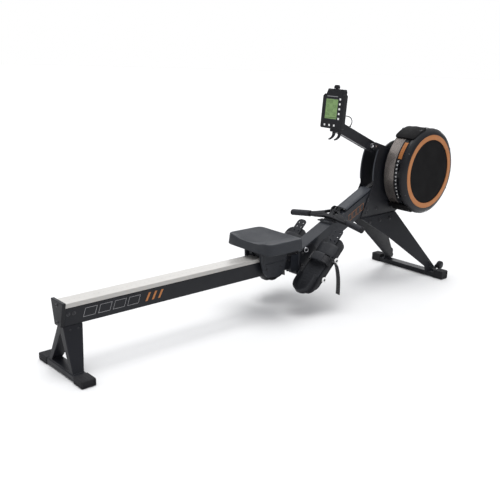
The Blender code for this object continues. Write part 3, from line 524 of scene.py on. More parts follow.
def perforated(name, colour):
    """Sheet around the drum with staggered round holes."""
    finish = Finish(name, colour, 0.36, 1.0).mottle(9.0, 0.1)
    split = finish.make("ShaderNodeSeparateXYZ")
    finish.link(finish.place, split.inputs[0])
    dx = finish.maths("SUBTRACT", split.outputs[0], FAN.x)
    dz = finish.maths("SUBTRACT", split.outputs[2], FAN.z)
    pitch = 0.0042
    around = finish.maths("MULTIPLY", finish.maths("ARCTAN2", dz, dx), SHELL / pitch)
    row = finish.maths("MULTIPLY", split.outputs[1], 1 / (pitch * 0.866))
    odd = finish.maths("MULTIPLY", finish.maths("FLOORED_MODULO", finish.maths("FLOOR", row), 2.0), 0.5)
    u = finish.maths("SUBTRACT", finish.maths("FRACT", finish.maths("ADD", around, odd)), 0.5)
    v = finish.maths("SUBTRACT", finish.maths("FRACT", row), 0.5)
    squares = finish.maths("ADD", finish.maths("MULTIPLY", u, u), finish.maths("MULTIPLY", v, v))
    far = finish.maths("SQRT", squares)
    solid = finish.span(far, 0.26, 0.34)
    # the holes are painted dark: painted shade of the drum's inside seen through them
    finish.tint(finish.maths("SUBTRACT", 1.0, solid), (0.035, 0.032, 0.032))
    finish.raise_by(solid, 0.0008)
    finish.raise_by(finish.noise(700.0, 2.0, (1, 0.1, 1)), 0.00003)
    return finish.done(0.08, 30.0)


def speckled(name, colour, roughness=0.42, metallic=0.35):
    """Metallic paint with fine flakes."""
    finish = Finish(name, colour, roughness, metallic).mottle(8.0, 0.1)
    flakes = finish.cells(2600.0)
    finish.tint(finish.span(flakes, 0.0, 0.35, 0.45, 0.0), tuple(min(1.0, c * 1.5 + 0.03) for c in colour))
    finish.raise_by(flakes, 0.00005)
    finish.wear_and_edge_highlight(tuple(min(1.0, c * 1.3 + 0.1) for c in colour), 0.0008, 0.5)
    return finish.done()


def display(name, colour):
    """Liquid crystal panel: greenish, with faint columns and rows of cells."""
    finish = Finish(name, colour, 0.24, Coat_Weight=0.5, Coat_Roughness=0.08).mottle(20.0, 0.06)
    finish.raise_by(finish.noise(1400.0, 2.0), 0.00003)
    lines = finish.make("ShaderNodeTexWave", bands_direction="Z")
    lines.inputs["Scale"].default_value = 420.0
    finish.link(finish.place, lines.inputs["Vector"])
    finish.tint(finish.span(lines.outputs["Fac"], 0.4, 1.0, 0.0, 0.16), tuple(c * 0.72 for c in colour))
    return finish.done(0.04)


def pale_paint(name, colour):
    finish = Finish(name, colour, 0.85, Specular_IOR_Level=0.1).mottle(0.8, 0.01)
    finish.raise_by(finish.noise(60.0, 4.0), 0.0002)
    return finish.done()


LOOK = {
    "frame": powder_coat("powder_coat_charcoal", CHARCOAL),
    # the boom has the frame's charcoal paint; this lighter, glossier copy is painted light for its brightly
    # lit top
    "boom": powder_coat("powder_coat_boom_painted_light", (0.017, 0.019, 0.024), 0.34),
    "track": satin_track("brushed_track", (0.46, 0.447, 0.425)),
    "zinc": brushed("zinc_plated", (0.58, 0.58, 0.6), 0.32, (1, 0.05, 1)),
    "bolts": brushed("blackened_screws", (0.07, 0.07, 0.075), 0.38, (1, 1, 0.2), scuffs=False),
    "steel": brushed("bright_screws", (0.72, 0.72, 0.74), 0.25, (1, 1, 0.2), scuffs=False),
    "plastic": moulded("black_moulded", BLACK, 0.48),
    "shell": moulded("fan_shell_moulded", (0.0064, 0.007, 0.009), 0.36, 1100.0, 0.00008, gloss=0.27),
    "grille": moulded("fan_face_moulded", (0.006, 0.0058, 0.0062), 0.7, 1500.0, 0.0002, edge=False,
                      gloss=0.08),
    "grey": moulded("slate_moulded", SLATE, 0.46, 800.0, 0.0001),
    "cover": moulded("belt_cover_moulded", (0.042, 0.046, 0.054), 0.38, 1000.0, 0.00008),
    "heel": moulded("flexible_heel_moulded", (0.015, 0.016, 0.019), 0.5, 1300.0, 0.0002),
    "foam": moulded("seat_foam_skin", (0.027, 0.0295, 0.0345), 0.55, 1250.0, 0.00028, edge=False),
    "rubber": moulded("rubber_feet", (0.013, 0.013, 0.015), 0.72, 700.0, 0.0002),
    "grip": moulded("grip_foam", (0.024, 0.025, 0.029), 0.66, 1700.0, 0.0003, edge=False),
    "band": perforated("perforated_band", (0.33, 0.295, 0.275)),
    "copper": speckled("copper_trim", COPPER),
    "silver": speckled("silver_mark", (0.3, 0.3, 0.31), 0.45, 0.6),
    "mark": moulded("printed_mark", (0.42, 0.42, 0.42), 0.5, 900.0, 0.00003, edge=False),
    "white": moulded("white_silicone", (0.8, 0.8, 0.79), 0.42, 600.0, 0.00006, edge=False),
    "screen": display("display_panel", (0.215, 0.345, 0.13)),
    "ink": moulded("display_segments", (0.035, 0.06, 0.03), 0.4, 2000.0, 0.00002, edge=False),
    "webbing": webbing("black_webbing", (0.014, 0.014, 0.016)),
    "cable": moulded("cable_jacket", (0.03, 0.03, 0.033), 0.45, 2500.0, 0.00004, edge=False),
    "floor": pale_paint("pale_floor", (0.7, 0.7, 0.7)),
}

# the palette slot of each look
SLOT = {look: slot for slot, looks in (
    ("painted_charcoal", "frame boom"),
    ("stainless_track", "track"),
    ("zinc_plate", "zinc bolts steel silver"),
    ("black_plastic", "plastic shell grille"),
    ("grey_plastic", "grey cover heel"),
    ("seat_foam", "foam"),
    ("grip_rubber", "rubber grip cable"),
    ("copper_trim", "copper"),
    ("white_button", "mark white"),
    ("green_screen", "ink"),
    ("black_webbing", "webbing"),
) for look in looks.split()}


# ---- camera, light and floor ----
# fitted to the photo: the camera's place, its yaw, pitch and roll in degrees, its focal length in mm
CAMERA_PLACE = (-2.47918, -2.47259, 1.3248)
CAMERA_TURN = (47.2538, -16.1726, 1.9138)
CAMERA_LENS = 51.78


def make_camera():
    yaw, pitch, roll = (math.radians(angle) for angle in CAMERA_TURN)
    forward = Vector((math.cos(pitch) * math.cos(yaw), math.cos(pitch) * math.sin(yaw), math.sin(pitch)))
    right = forward.cross(Vector((0, 0, 1))).normalized()
    up = right.cross(forward)
    side = right * math.cos(roll) + up * math.sin(roll)
    top = up * math.cos(roll) - right * math.sin(roll)
    data = bpy.data.cameras.new("camera")
    data.sensor_width = 36.0
    data.lens = CAMERA_LENS
    camera = bpy.data.objects.new("camera", data)
    scene.collection.objects.link(camera)
    camera.matrix_world = axes(side, top, -forward, CAMERA_PLACE)
    scene.camera = camera


def make_light():
    world = bpy.data.worlds.new("studio")
    scene.world = world
    world.use_nodes = True
    tree = world.node_tree
    sky = tree.nodes["Background"]
    coord = tree.nodes.new("ShaderNodeTexCoord")
    split = tree.nodes.new("ShaderNodeSeparateXYZ")
    tree.links.new(coord.outputs["Generated"], split.inputs[0])
    ramp = tree.nodes.new("ShaderNodeValToRGB")
    ramp.color_ramp.elements[0].position = 0.0
    ramp.color_ramp.elements[0].color = (0.3, 0.3, 0.31, 1)
    ramp.color_ramp.elements[1].position = 0.6
    ramp.color_ramp.elements[1].color = (0.98, 0.99, 1.02, 1)
    tree.links.new(split.outputs[2], ramp.inputs[0])
    tree.links.new(ramp.outputs[0], sky.inputs["Color"])
    sky.inputs["Strength"].default_value = 0.85
    white = tree.nodes.new("ShaderNodeBackground")
    white.inputs["Color"].default_value = (1, 1, 1, 1)
    path = tree.nodes.new("ShaderNodeLightPath")
    mix = tree.nodes.new("ShaderNodeMixShader")
    tree.links.new(path.outputs["Is Camera Ray"], mix.inputs[0])
    tree.links.new(sky.outputs[0], mix.inputs[1])
    tree.links.new(white.outputs[0], mix.inputs[2])
    tree.links.new(mix.outputs[0], tree.nodes["World Output"].inputs["Surface"])
    behind = Vector((-0.6, -0.6, -0.53)).to_track_quat("-Z", "Y").to_euler()
    for name, energy, angle, tilt in (("overhead", 2.2, 40.0, (0.0, 0.0, 0.0)), ("behind", 0.6, 50.0, behind),
                                      ("key", 0.2, 50.0, (0.8, -0.45, 0.0))):
        data = bpy.data.lights.new(name, "SUN")
        data.energy = energy
        data.angle = math.radians(angle)
        lamp = bpy.data.objects.new(name, data)
        lamp.rotation_euler = tilt
        scene.collection.objects.link(lamp)
    scene.view_settings.view_transform = "Standard"


def make_floor():
    floor = Shapes()
    floor.lathe([(0.0, -0.002), (30.0, -0.002), (30.0, -0.001), (0.0, -0.001)], steps=48)
    floor.piece("floor", "floor", None)


# ---- cable ----
def make_cable():
    route = [(0.3752, -0.03, 0.9666), (0.384, -0.03, 0.968), (0.4, -0.0295, 0.9695),
             (0.42, -0.0285, 0.97), (0.44, -0.027, 0.968), (0.459, -0.025, 0.9625),
             (0.474, -0.0225, 0.954), (0.484, -0.02, 0.9425), (0.4875, -0.017, 0.931),
             (0.4866, -0.014, 0.9217), (0.4832, -0.012, 0.9145)]
    path = smooth_route(route, 4)
    cable = Shapes().tube(path, 0.0024, 12).piece("monitor_cable_jacket", "cable", None)
    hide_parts("monitor_cable")
    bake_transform(cable)
    plug = Shapes()
    plug.lathe([(0.0, 0.0), (0.0052, 0.0), (0.0052, 0.006), (0.0034, 0.013), (0.0, 0.013)],
               facing((0.37, -0.03, 0.966), (1, 0, 0.15)), 16)
    plug.piece("cable_plug", "plastic", "monitor", slot="", bevel=0.0004)
    grommet = Shapes()
    grommet.lathe([(0.0025, 0.0), (0.0062, 0.0), (0.0062, 0.0015), (0.004, 0.004), (0.0025, 0.004)],
                  facing((0.4812, -0.012, 0.911), (0.389, 0, 0.921)), 16)
    grommet.piece("cable_grommet", "rubber", "arm", slot="")


# ---- CAD nodes ----
def dress(node, look, bevel=0.0, segments=2, angle=35.0):
    """Gives a CAD node its material and softly rounded edges."""
    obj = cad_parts[node]
    obj.data.materials.clear()
    obj.data.materials.append(LOOK[look])
    own = obj.data.attributes.get("custom_normal")
    if own:
        obj.data.attributes.remove(own)
    obj.data.shade_smooth()
    weld = obj.modifiers.new("weld", "WELD")
    weld.merge_threshold = 0.00002
    if bevel:
        round_edges(obj, bevel, segments, angle)
    else:
        normals = obj.modifiers.new("normals", "WEIGHTED_NORMAL")
        normals.keep_sharp = True


# look, bevel, nodes
DRESSED = (
    ("frame", 0.0012, "tower_plate_left tower_plate_right monitor_arm"),
    ("frame", 0.0015, "front_leg_left front_leg_right"),
    ("frame", 0.0025, "rear_stand front_foot_bar"),
    ("frame", 0.0028, "monorail_beam"),
    ("boom", 0.0014, "boom"),
    ("track", 0.0008, "rail_track"),
    ("plastic", 0.0009, "footboard_left footboard_right"),
    ("plastic", 0.001, "device_clip"),
    ("plastic", 0.0012, "rail_end_plate handle_yoke"),
    ("cover", 0.0012, "belt_cover"),
    ("rubber", 0.0012, "transport_wheel_left transport_wheel_right"),
    ("rubber", 0.0016, "rear_foot_cap_left rear_foot_cap_right"),
    ("rubber", 0.0018, "front_foot_cap_left front_foot_cap_right"),
    ("heel", 0.0011, "heel_rest_left heel_rest_right"),
    ("grip", 0.003, "handle_grip_left handle_grip_right"),
    ("zinc", 0.0008, "fan_axle arm_bolt belt_drum footrest_bar_upper footrest_bar_lower"),
    ("shell", 0.001, "left_cover fan_back_pan fan_cage damper_ring fan_front_cover"),
    ("band", 0.0006, "fan_band"),
    ("copper", 0.0008, "fan_accent_ring"),
    ("grille", 0.0006, "fan_face_grille"),
    ("grey", 0.0003, "fan_wheel"),
    ("grey", 0.0008, "seat_roller_front seat_roller_rear"),
    ("grey", 0.003, "seat_carriage"),
    ("screen", 0.0003, "monitor_screen"),
)


def dress_frame():
    for look, bevel, nodes in DRESSED:
        for node in nodes.split():
            dress(node, look, bevel)
    dress("monitor_housing", "plastic", 0.0007, angle=50.0)
    for number in range(1, 9):
        dress(f"monitor_button_{number}", "white", 0.0012, 3)


# ---- rail and stands ----
def side_frame(sign):
    """On the beam's leaning side face: x forward, y up the face, z out of it."""
    low = Vector((0.0, 0.023, 0.207))
    high = Vector((0.0, 0.03, 0.2857))
    up = (high - low).normalized()
    out = Vector((0.0, up.z, -up.y))
    mirror = Vector((1.0, sign, 1.0))
    return axes((1.0, 0.0, 0.0), up * mirror, out * mirror, (low + high) / 2 * mirror)


def slanted(x0, x1, y0, y1, lean):
    return [(x0, y0), (x1, y0), (x1 + lean, y1), (x0 + lean, y1)]


def outlined_cells(shapes, x0, x1, y0, y1, lean, count, line, matrix):
    """A row of leaning cells drawn with thin lines, a generic stripe pattern."""
    top = GAP + FILM
    pitch = (x1 - x0) / count
    share = line / (y1 - y0) * lean
    for i in range(count):
        a = x0 + i * pitch
        b = a + pitch * 0.8
        shapes.plate(slanted(a, b, y0, y0 + line, share), GAP, top, matrix)
        shapes.plate(slanted(a + lean - share, b + lean - share, y1 - line, y1, share), GAP, top, matrix)
        inner = lean - 2 * share
        for x in (a, b - line):
            shapes.plate(slanted(x + share, x + share + line, y0 + line, y1 - line, inner), GAP, top, matrix)


# how far the rail's marks reach down and up its side face
MARK_FOOT, MARK_HEAD = -0.015, 0.023
PAD_REAR, PAD_FRONT = 0.018, 0.11


def make_rail_details():
    copper = Shapes()
    silver = Shapes()
    screws = Shapes()
    for sign in (1, -1):
        face = side_frame(sign)
        outlined_cells(silver, -1.125, -0.845, MARK_FOOT, MARK_HEAD, 0.01, 4, 0.0016, face)
        for x in (-0.823, -0.79, -0.757):
            copper.plate(slanted(x, x + 0.011, MARK_FOOT, MARK_HEAD, 0.016), GAP, GAP + FILM, face)
        out = face.to_3x3() @ Vector((0, 0, 1))
        for x, radius in ((-1.192, 0.0062), (-1.166, 0.0062), (0.035, 0.005), (0.055, 0.005)):
            screws.bolt(face @ Vector((x, 0.012, 0.0)), out, radius)
    copper.piece("rail_marks_copper", "copper")
    silver.piece("rail_marks_silver", "silver")
    screws.piece("rail_screws", "bolts", angle=30.0)


def make_track_details():
    """Centre marks along the track and the dark pad on its front end."""
    ruler = Shapes()
    count = 56
    for i in range(count):
        x = RAIL_REAR + 0.04 + i * (RAIL_FRONT - RAIL_REAR - 0.08) / (count - 1)
        ruler.block((x - 0.003, -0.0009, TRACK_TOP + 0.00005), (x + 0.003, 0.0009, TRACK_TOP + 0.0002))
    ruler.piece("track_centre_marks", "silver", slot="stainless_track")
    pad = Shapes()
    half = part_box("rail_track")[1].y
    pad.sweep([(x, 0.0, TRACK_TOP) for x in (PAD_REAR, PAD_REAR + 0.001, PAD_FRONT - 0.001, PAD_FRONT)],
              [(-half + 0.002, 0.00005), (half - 0.002, 0.00005), (half - 0.0022, 0.00018),
               (-half + 0.0022, 0.00018)], across=(0, 1, 0))
    low_side, high_side = 0.287, TRACK_TOP - 0.001
    for sign in (1, -1):
        wall = [(sign * y, z) for y, z in ((0.0318, low_side), (half + 0.0003, high_side),
                                           (half + 0.0007, high_side), (0.0322, low_side))]
        pad.plate(wall if sign > 0 else wall[::-1], PAD_REAR, PAD_FRONT, ACROSS_RAIL)
    pad.piece("track_front_pad", "rubber")


def make_end_plate_screws():
    cap = Shapes()
    for z in (0.298, 0.224):
        cap.bolt((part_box("rail_end_plate")[0].x - 0.0001, 0.0, z), (-1, 0, 0), 0.0058)
    cap.piece("end_plate_screws", "bolts", angle=30.0)


TREADS = 5


def make_foot_caps():
    rims = Shapes()
    for node in ("rear_foot_cap_left", "rear_foot_cap_right", "front_foot_cap_left", "front_foot_cap_right"):
        low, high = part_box(node)
        sign = 1 if high.y > 0 else -1
        outer = high.y if sign > 0 else -low.y
        inset = 0.0065
        outline = rounded(low.x + inset, high.x - inset, low.z + inset, high.z - inset, 0.004)
        face = on_side(sign, outer - 0.0005)
        outer_edge = rounded(low.x + 0.0012, high.x - 0.0012, low.z + 0.0012, high.z - 0.0012, 0.004)
        rims.frame(outer_edge, outline, 0.0, 0.0034, face)
        for i in range(TREADS):
            x = low.x + (high.x - low.x) * (i + 0.5) / TREADS
            y = sorted((sign * (outer - 0.006), sign * (outer - (high.y - low.y) + 0.01)))
            rims.block((x - 0.0016, y[0], high.z - 0.0004), (x + 0.0016, y[1], high.z + 0.0006))
    rims.piece("foot_cap_details", "rubber", bevel=0.0003, segments=1)


def make_stand_screws():
    screws = Shapes()
    for sign in (1, -1):
        for x, z in ((-1.186, 0.19), (-1.15, 0.19)):
            screws.bolt((x, sign * 0.027, z), (0, sign, 0.25), 0.0048)
    splay = math.atan(0.2817)
    for sign in (1, -1):
        out = Vector((0, sign * math.cos(splay), math.sin(splay)))
        for x, down in ((0.65, 0.026), (0.74, 0.026), (0.83, 0.026), (1.15, 0.345), (1.15, 0.372)):
            across = Vector((0, sign * math.sin(splay), -math.cos(splay)))
            point = Vector((x, sign * 0.0515, 0.405)) + across * down + out * 0.0036
            screws.bolt(point, out, 0.0075 if down < 0.1 else 0.006)
    screws.piece("stand_screws", "bolts", angle=30.0)


def make_welds():
    welds = Shapes()
    for sign in (1, -1):
        path = [Vector((x, sign * 0.102, 0.0292)) for x in (-1.219, -1.205, -1.19, -1.173)]
        welds.tube(path, 0.003, 8)
        path = [Vector((x, sign * 0.1545, 0.0302)) for x in (1.124, 1.14, 1.158, 1.176)]
        welds.tube(path, 0.0034, 8)
        seam = [Vector((x, sign * 0.0478, 0.406)) for x in (0.59, 0.69, 0.79, 0.888)]
        welds.tube(seam, 0.0042, 10)
    welds.piece("weld_beads", "frame")


def make_wheel_hubs():
    for side, sign in (("left", 1), ("right", -1)):
        wheel = f"transport_wheel_{side}"
        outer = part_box(wheel)[1 if sign > 0 else 0].y
        hub = Shapes()
        centre = middle(wheel)
        hub.lathe([(0.0, 0.0), (0.0125, 0.0), (0.0125, 0.0008), (0.01, 0.0014), (0.006, 0.0016),
                   (0.0, 0.0016)], facing((centre.x, outer, centre.z), (0, sign, 0)), 24)
        hub.piece(f"wheel_hub_{side}", "grey", f"wheel_{side}")


# ---- boom and tower ----
def make_boom_details():
    marks = Shapes()
    for sign in (1, -1):
        place = Matrix.Translation((0.485, 0.4175, 0.0)) @ Matrix.Rotation(BOOM_SLOPE, 4, "Z")
        outlined_cells(marks, 0.0, 0.138, -0.017, 0.017, 0.01, 4, 0.0013, on_side(sign, BOOM_HALF) @ place)
    marks.piece("boom_marks", "copper")
    screws = Shapes()
    for sign in (1, -1):
        for x, z in ((0.134, 0.285), (0.134, 0.222), (0.64, 0.505), (0.64, 0.455)):
            face_y = TOWER_FACE if x > 0.6 else BOOM_HALF + 0.0042
            screws.bolt((x, sign * (face_y + 0.0001), z), (0, sign, 0), 0.0068)
        for x in (0.352, 0.378):
            screws.bolt((x, sign * 0.049, 0.4151), (0, 0, 1), 0.0035)
    screws.piece("boom_screws", "bolts", angle=30.0)
    pads = Shapes()
    for sign in (1, -1):
        low, high = sorted((sign * 0.024, sign * 0.0545))
        pads.block((0.348, low, 0.41505), (0.382, high, 0.4168))
    pads.piece("saddle_pads", "rubber", bevel=0.0007)


def make_boom_sockets():
    """Strap rings and gusset plates where the rail enters the boom."""
    ring = Shapes()
    for sign in (1, -1):
        place = Vector((0.1522, sign * (BOOM_HALF + 0.0072), 0.3104))
        ring.ring(place + Vector((0, sign * 0.005, -0.0085)), (-0.35, sign, 0.15), 0.0105, 0.0021, 24)
        ring.lathe([(0.0, -0.003), (0.005, -0.003), (0.005, 0.001), (0.0034, 0.005), (0.0, 0.005)],
                   facing(place, (0, sign, 0)), 16)
    ring.piece("strap_rings", "zinc")
    gusset = Shapes()
    web = [(0.113, 0.168), (0.154, 0.164), (0.24, 0.244), (0.244, 0.286), (0.2, 0.333), (0.116, 0.297)]
    for sign in (1, -1):
        near, far = sorted((sign * (BOOM_HALF + 0.0004), sign * (BOOM_HALF + 0.0042)))
        gusset.plate(web, near, far, on_side(1, 0.0))
    gusset.piece("boom_gussets", "frame", bevel=0.0008)


def make_belt_cover_details():
    lips = Shapes()
    cover_low, cover_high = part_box("belt_cover")
    length = (cover_high.x - cover_low.x - 0.008) / math.cos(BOOM_SLOPE)
    start = (BOOM.inverted() @ Vector((cover_low.x + 0.004, 0, cover_low.z))).y + 0.012
    end = start + length - 0.024
    for y in (-0.025, 0.025):
        lips.block((y - 0.0012, start, 0.0122), (y + 0.0012, end, 0.0137), BOOM)
    lips.piece("belt_cover_ribs", "cover", bevel=0.0005)
    mouth = Shapes()
    x = cover_low.x - 0.0005
    upright = Matrix.Translation((x, 0, boom_height(x))) @ Matrix.Rotation(-BOOM_SLOPE, 4, "Y") @ ACROSS_RAIL
    for low, high in ((-0.033, -0.02), (0.02, 0.033)):
        mouth.plate([(low, 0.0004), (high, 0.0004), (high, 0.0118), (low, 0.0118)], -0.006, 0.004, upright)
    mouth.piece("belt_mouth", "plastic", bevel=0.001)


TOWER_RADIUS = 0.3125


def make_tower_details():
    screws = Shapes()
    for sign in (1, -1):
        out = (0, sign, 0)
        for x, z in ((0.666, 0.799), (0.85, 0.748), (0.9, 0.432), (0.72, 0.448), (0.63, 0.43)):
            if sign < 0 and x > 0.8:
                continue
            screws.bolt((x, sign * (TOWER_FACE + 0.0001), z), out, 0.008 if z > 0.79 else 0.0062)
    screws.piece("tower_screws", "bolts", angle=30.0)
    bright = Shapes()
    for sign in (1, -1):
        bright.bolt((0.644, sign * (TOWER_FACE + 0.0001), 0.801), (0, sign, 0), 0.0042)
    bright.piece("tower_bright_screws", "steel", angle=30.0)
    spacers = Shapes()
    for sign in (1, -1):
        low, high = sorted((sign * 0.0183, sign * 0.041))
        spacers.lathe([(0.0056, low), (0.013, low), (0.013, high), (0.0056, high)], axle(ARM_PIVOT, 1), 24)
    for x, z in ((0.85, 0.748), (0.76, 0.46)):
        spacers.lathe([(0.0, -0.041), (0.008, -0.041), (0.008, 0.041), (0.0, 0.041)], axle((x, 0, z), 1), 20)
    spacers.piece("tower_spacers", "zinc", angle=40.0)
    edge = Shapes()
    for sign in (1, -1):
        path = [around_fan(TOWER_RADIUS, 156.0 + 2.0 * i, sign * (TOWER_FACE - 0.0025)) for i in range(17)]
        edge.sweep(path, [(-0.0035, -0.002), (0.0035, -0.002), (0.0035, 0.0012), (0.002, 0.0022),
                          (-0.002, 0.0022), (-0.0035, 0.0012)], across=(0, 1, 0))
    # the trim is black plastic; the lighter belt-cover grey on it is a painted highlight along the plates'
    # rims
    edge.piece("tower_edge_trim", "cover", slot="black_plastic")


# ---- fan ----
CLAMP_RADIUS = 0.2444


def make_damper_details():
    marks = Shapes()
    for i in range(11):
        place = on_drum(SHELL - 0.0014, 162.5 + 5.1 * i, -0.1405)
        marks.plate([(-0.0065, -0.005), (0.006, -0.0062), (-0.001, 0.0066)], 0.0, 0.0009, place)
    marks.piece("airflow_marks", "mark", "damper")
    tab = Shapes()
    for i in range(9):
        tab.plate(rounded(-0.0052, 0.0052, -0.012, 0.012, 0.001, 2), -0.0008, 0.0016,
                  on_drum(SHELL - 0.001, 136.5 + 2.7 * i, -0.1475), crown=(0.0012, 0.0008))
    tab.piece("damper_grip", "copper", "damper")
    rim = Shapes()
    for y in (-0.162, -0.133):
        rim.sweep([around_fan(SHELL + 0.0002, 134.5 + 1.6 * i, y) for i in range(17)],
                  rib_section(0.0012, 0.0012, -0.0012, 0.001), across=(0, 1, 0))
    rim.piece("damper_grip_rim", "shell", "damper")


def make_fan_rings():
    """Beads around the shell and the band, and the rings on the face."""
    face = -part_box("fan_front_cover")[0].y
    groove = Shapes()
    right = axle((FAN.x, 0, FAN.z), -1)
    for radius, y in ((0.2402, face - 0.0255), (0.2392, face - 0.0175)):
        groove.lathe([(radius - 0.0008, y - 0.0009), (radius + 0.0004, y - 0.0009), (radius + 0.0008, y),
                      (radius + 0.0004, y + 0.0009), (radius - 0.0008, y + 0.0009)], right, 96)
    groove.piece("shell_beads", "shell")
    lip = Shapes()
    for y in (0.0628, 0.1288):
        lip.lathe([(SHELL - 0.0004, y - 0.0012), (SHELL + 0.001, y - 0.0009), (SHELL + 0.0014, y),
                   (SHELL + 0.001, y + 0.0009), (SHELL - 0.0004, y + 0.0012)], right, 96)
    lip.piece("band_edges", "shell")
    outer = -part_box("fan_face_grille")[0].y
    rings = Shapes()
    for i in range(5):
        radius = 0.035 + 0.03 * i
        crest = outer - 0.0003 - 0.00035 * i
        rings.lathe([(radius - 0.0012, outer - 0.003), (radius + 0.0012, outer - 0.003),
                     (radius + 0.0009, crest), (radius - 0.0009, crest)], right, 96)
    rings.piece("face_rings", "grille")


def make_fan_clamps():
    """The two clamps across the rim and the screws of the front cover."""
    face = -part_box("fan_front_cover")[0].y
    screws = Shapes()
    for i in range(6):
        angle = math.radians(60 * i + 30)
        tilt = Vector((0.75 * math.cos(angle), -0.66, 0.75 * math.sin(angle)))
        screws.bolt(around_fan(0.228, 60 * i + 30, 0.0085 - face), tilt, 0.0042, washer=False)
    for label, start, end in (("top", 99.0, 129.0), ("bottom", 227.0, 245.0)):
        centre = middle(f"fan_clamp_{label}")
        clamp_low, clamp_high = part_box(f"fan_clamp_{label}")
        reach = (clamp_high.y - clamp_low.y) / 2
        bar = Shapes()
        count = 16
        step = (end - start) / count
        path = [around_fan(CLAMP_RADIUS, start + step * i, centre.y) for i in range(count + 1)]
        half = [(reach - 0.003, 0.0036), (reach, 0.001), (reach - 0.001, -0.002), (reach - 0.006, -0.0042)]
        section = half + [(0.0, -0.0052)] + [(-a, b) for a, b in half[::-1]]
        ends = [0.86, 0.95, 0.99]
        bar.sweep(path, section, across=(0, 1, 0), scale=ends + [1.0] * (count - 5) + ends[::-1])
        clamp = bar.piece(f"clamp_{label}_shell", "grille", angle=40.0)
        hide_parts(f"fan_clamp_{label}")
        out = Vector((centre.x - FAN.x, 0, centre.z - FAN.z)).normalized()
        for y in (0.056, 0.174):
            screws.bolt(Vector((FAN.x, -y, FAN.z)) + out * (CLAMP_RADIUS + 0.0048), out, 0.005)
    screws.piece("fan_screws", "bolts", angle=30.0)


def make_left_cover_details():
    left = Shapes()
    cover_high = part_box("left_cover")[1].y
    leftward = axle((FAN.x, 0, FAN.z), 1)
    left.lathe([(0.0, cover_high - 0.001), (0.042, cover_high - 0.001), (0.04, cover_high + 0.0016),
                (0.03, cover_high + 0.0022), (0.0, cover_high + 0.0022)], leftward, 64)
    for radius in (0.06, 0.085, 0.105):
        ridge = [(radius + a, cover_high + b) for a, b in rib_section(0.0022, 0.0014, -0.0008, 0.001)]
        left.lathe(ridge, leftward, 96)
    left.piece("left_cover_rings", "shell", angle=30.0)
    caps = Shapes()
    for i in range(4):
        angle = math.radians(90 * i + 45)
        caps.bolt(around_fan(0.128, 90 * i + 45, cover_high - 0.004),
                  (0.3 * math.cos(angle), 1, 0.3 * math.sin(angle)), 0.0045)
    caps.piece("left_cover_screws", "bolts", angle=30.0)


# ---- seat ----
def seat_height(u, v):
    """Top of the saddle: u is -1 to 1 across, v is -1 at the rear and 1 at the front."""
    bowl = 0.022 * (1 - abs(u) ** 2.6) * (1 - abs(v) ** 4)
    notch = 0.04 * math.exp(-(u / 0.42) ** 2) * ((1 - v) / 2) ** 1.7
    lip = 0.006 * (1 - u * u) * ((1 + v) / 2) ** 2
    return SEAT_TOP - bowl - notch - lip


def seat_rim(angle):
    """Unit outline: a rectangle with round corners, bowed a little at the front."""
    along, across = math.cos(angle), math.sin(angle)
    v = math.copysign(abs(along) ** 0.22, along)
    u = math.copysign(abs(across) ** 0.22, across)
    return u, v - (0.05 * u * u if v > 0 else 0.0)


def make_seat():
    half_length = (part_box("seat_pad")[1].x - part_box("seat_pad")[0].x) / 2 - 0.0035
    half_width = SEAT_HALF - 0.001
    around = 120
    saddle = Shapes()
    verts, faces = saddle.mesh.verts, saddle.mesh.faces
    rings = []
    # share of the outline, drop below the top surface, share of the skirt's height (none on the top)
    levels = [(0.115 * i, 0.0, None) for i in range(1, 8)]
    levels += [(0.88, 0.0, None), (0.935, 0.0002, None), (0.965, 0.0012, None), (0.985, 0.0034, None),
               (0.995, 0.007, None), (0.998, 0.011, None)]
    levels += [(1.01, 0.0, 0.5), (1.022, 0.0, 0.12), (1.02, 0.0, 0.03), (0.99, 0.0, 0.0),
               (0.95, 0.0, 0.0), (0.6, 0.0, 0.0), (0.25, 0.0, 0.0)]
    floor_z = SEAT_UNDER + 0.0004
    for share, drop, part in levels:
        ring = []
        for i in range(around):
            u, v = seat_rim(2 * math.pi * (i + 0.5) / around)
            inside = min(share, 1.0)
            z = seat_height(u * inside, v * inside) - drop
            if part is not None:
                z = floor_z + (seat_height(u, v) - 0.011 - floor_z) * part
            ring.append(verts.new((SEAT.x + v * share * half_length, u * share * half_width, z)))
        rings.append(ring)
    top = verts.new((SEAT.x, 0.0, seat_height(0, 0)))
    under = verts.new((SEAT.x, 0.0, floor_z))
    for a, b in zip(rings, rings[1:]):
        for i in range(around):
            j = (i + 1) % around
            faces.new((a[i], b[i], b[j], a[j]))
    for i in range(around):
        j = (i + 1) % around
        faces.new((rings[0][i], rings[0][j], top))
        faces.new((rings[-1][j], rings[-1][i], under))
    skin = saddle.piece("seat_saddle", "foam", "seat", subdivide=1)
    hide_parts("seat_pad")


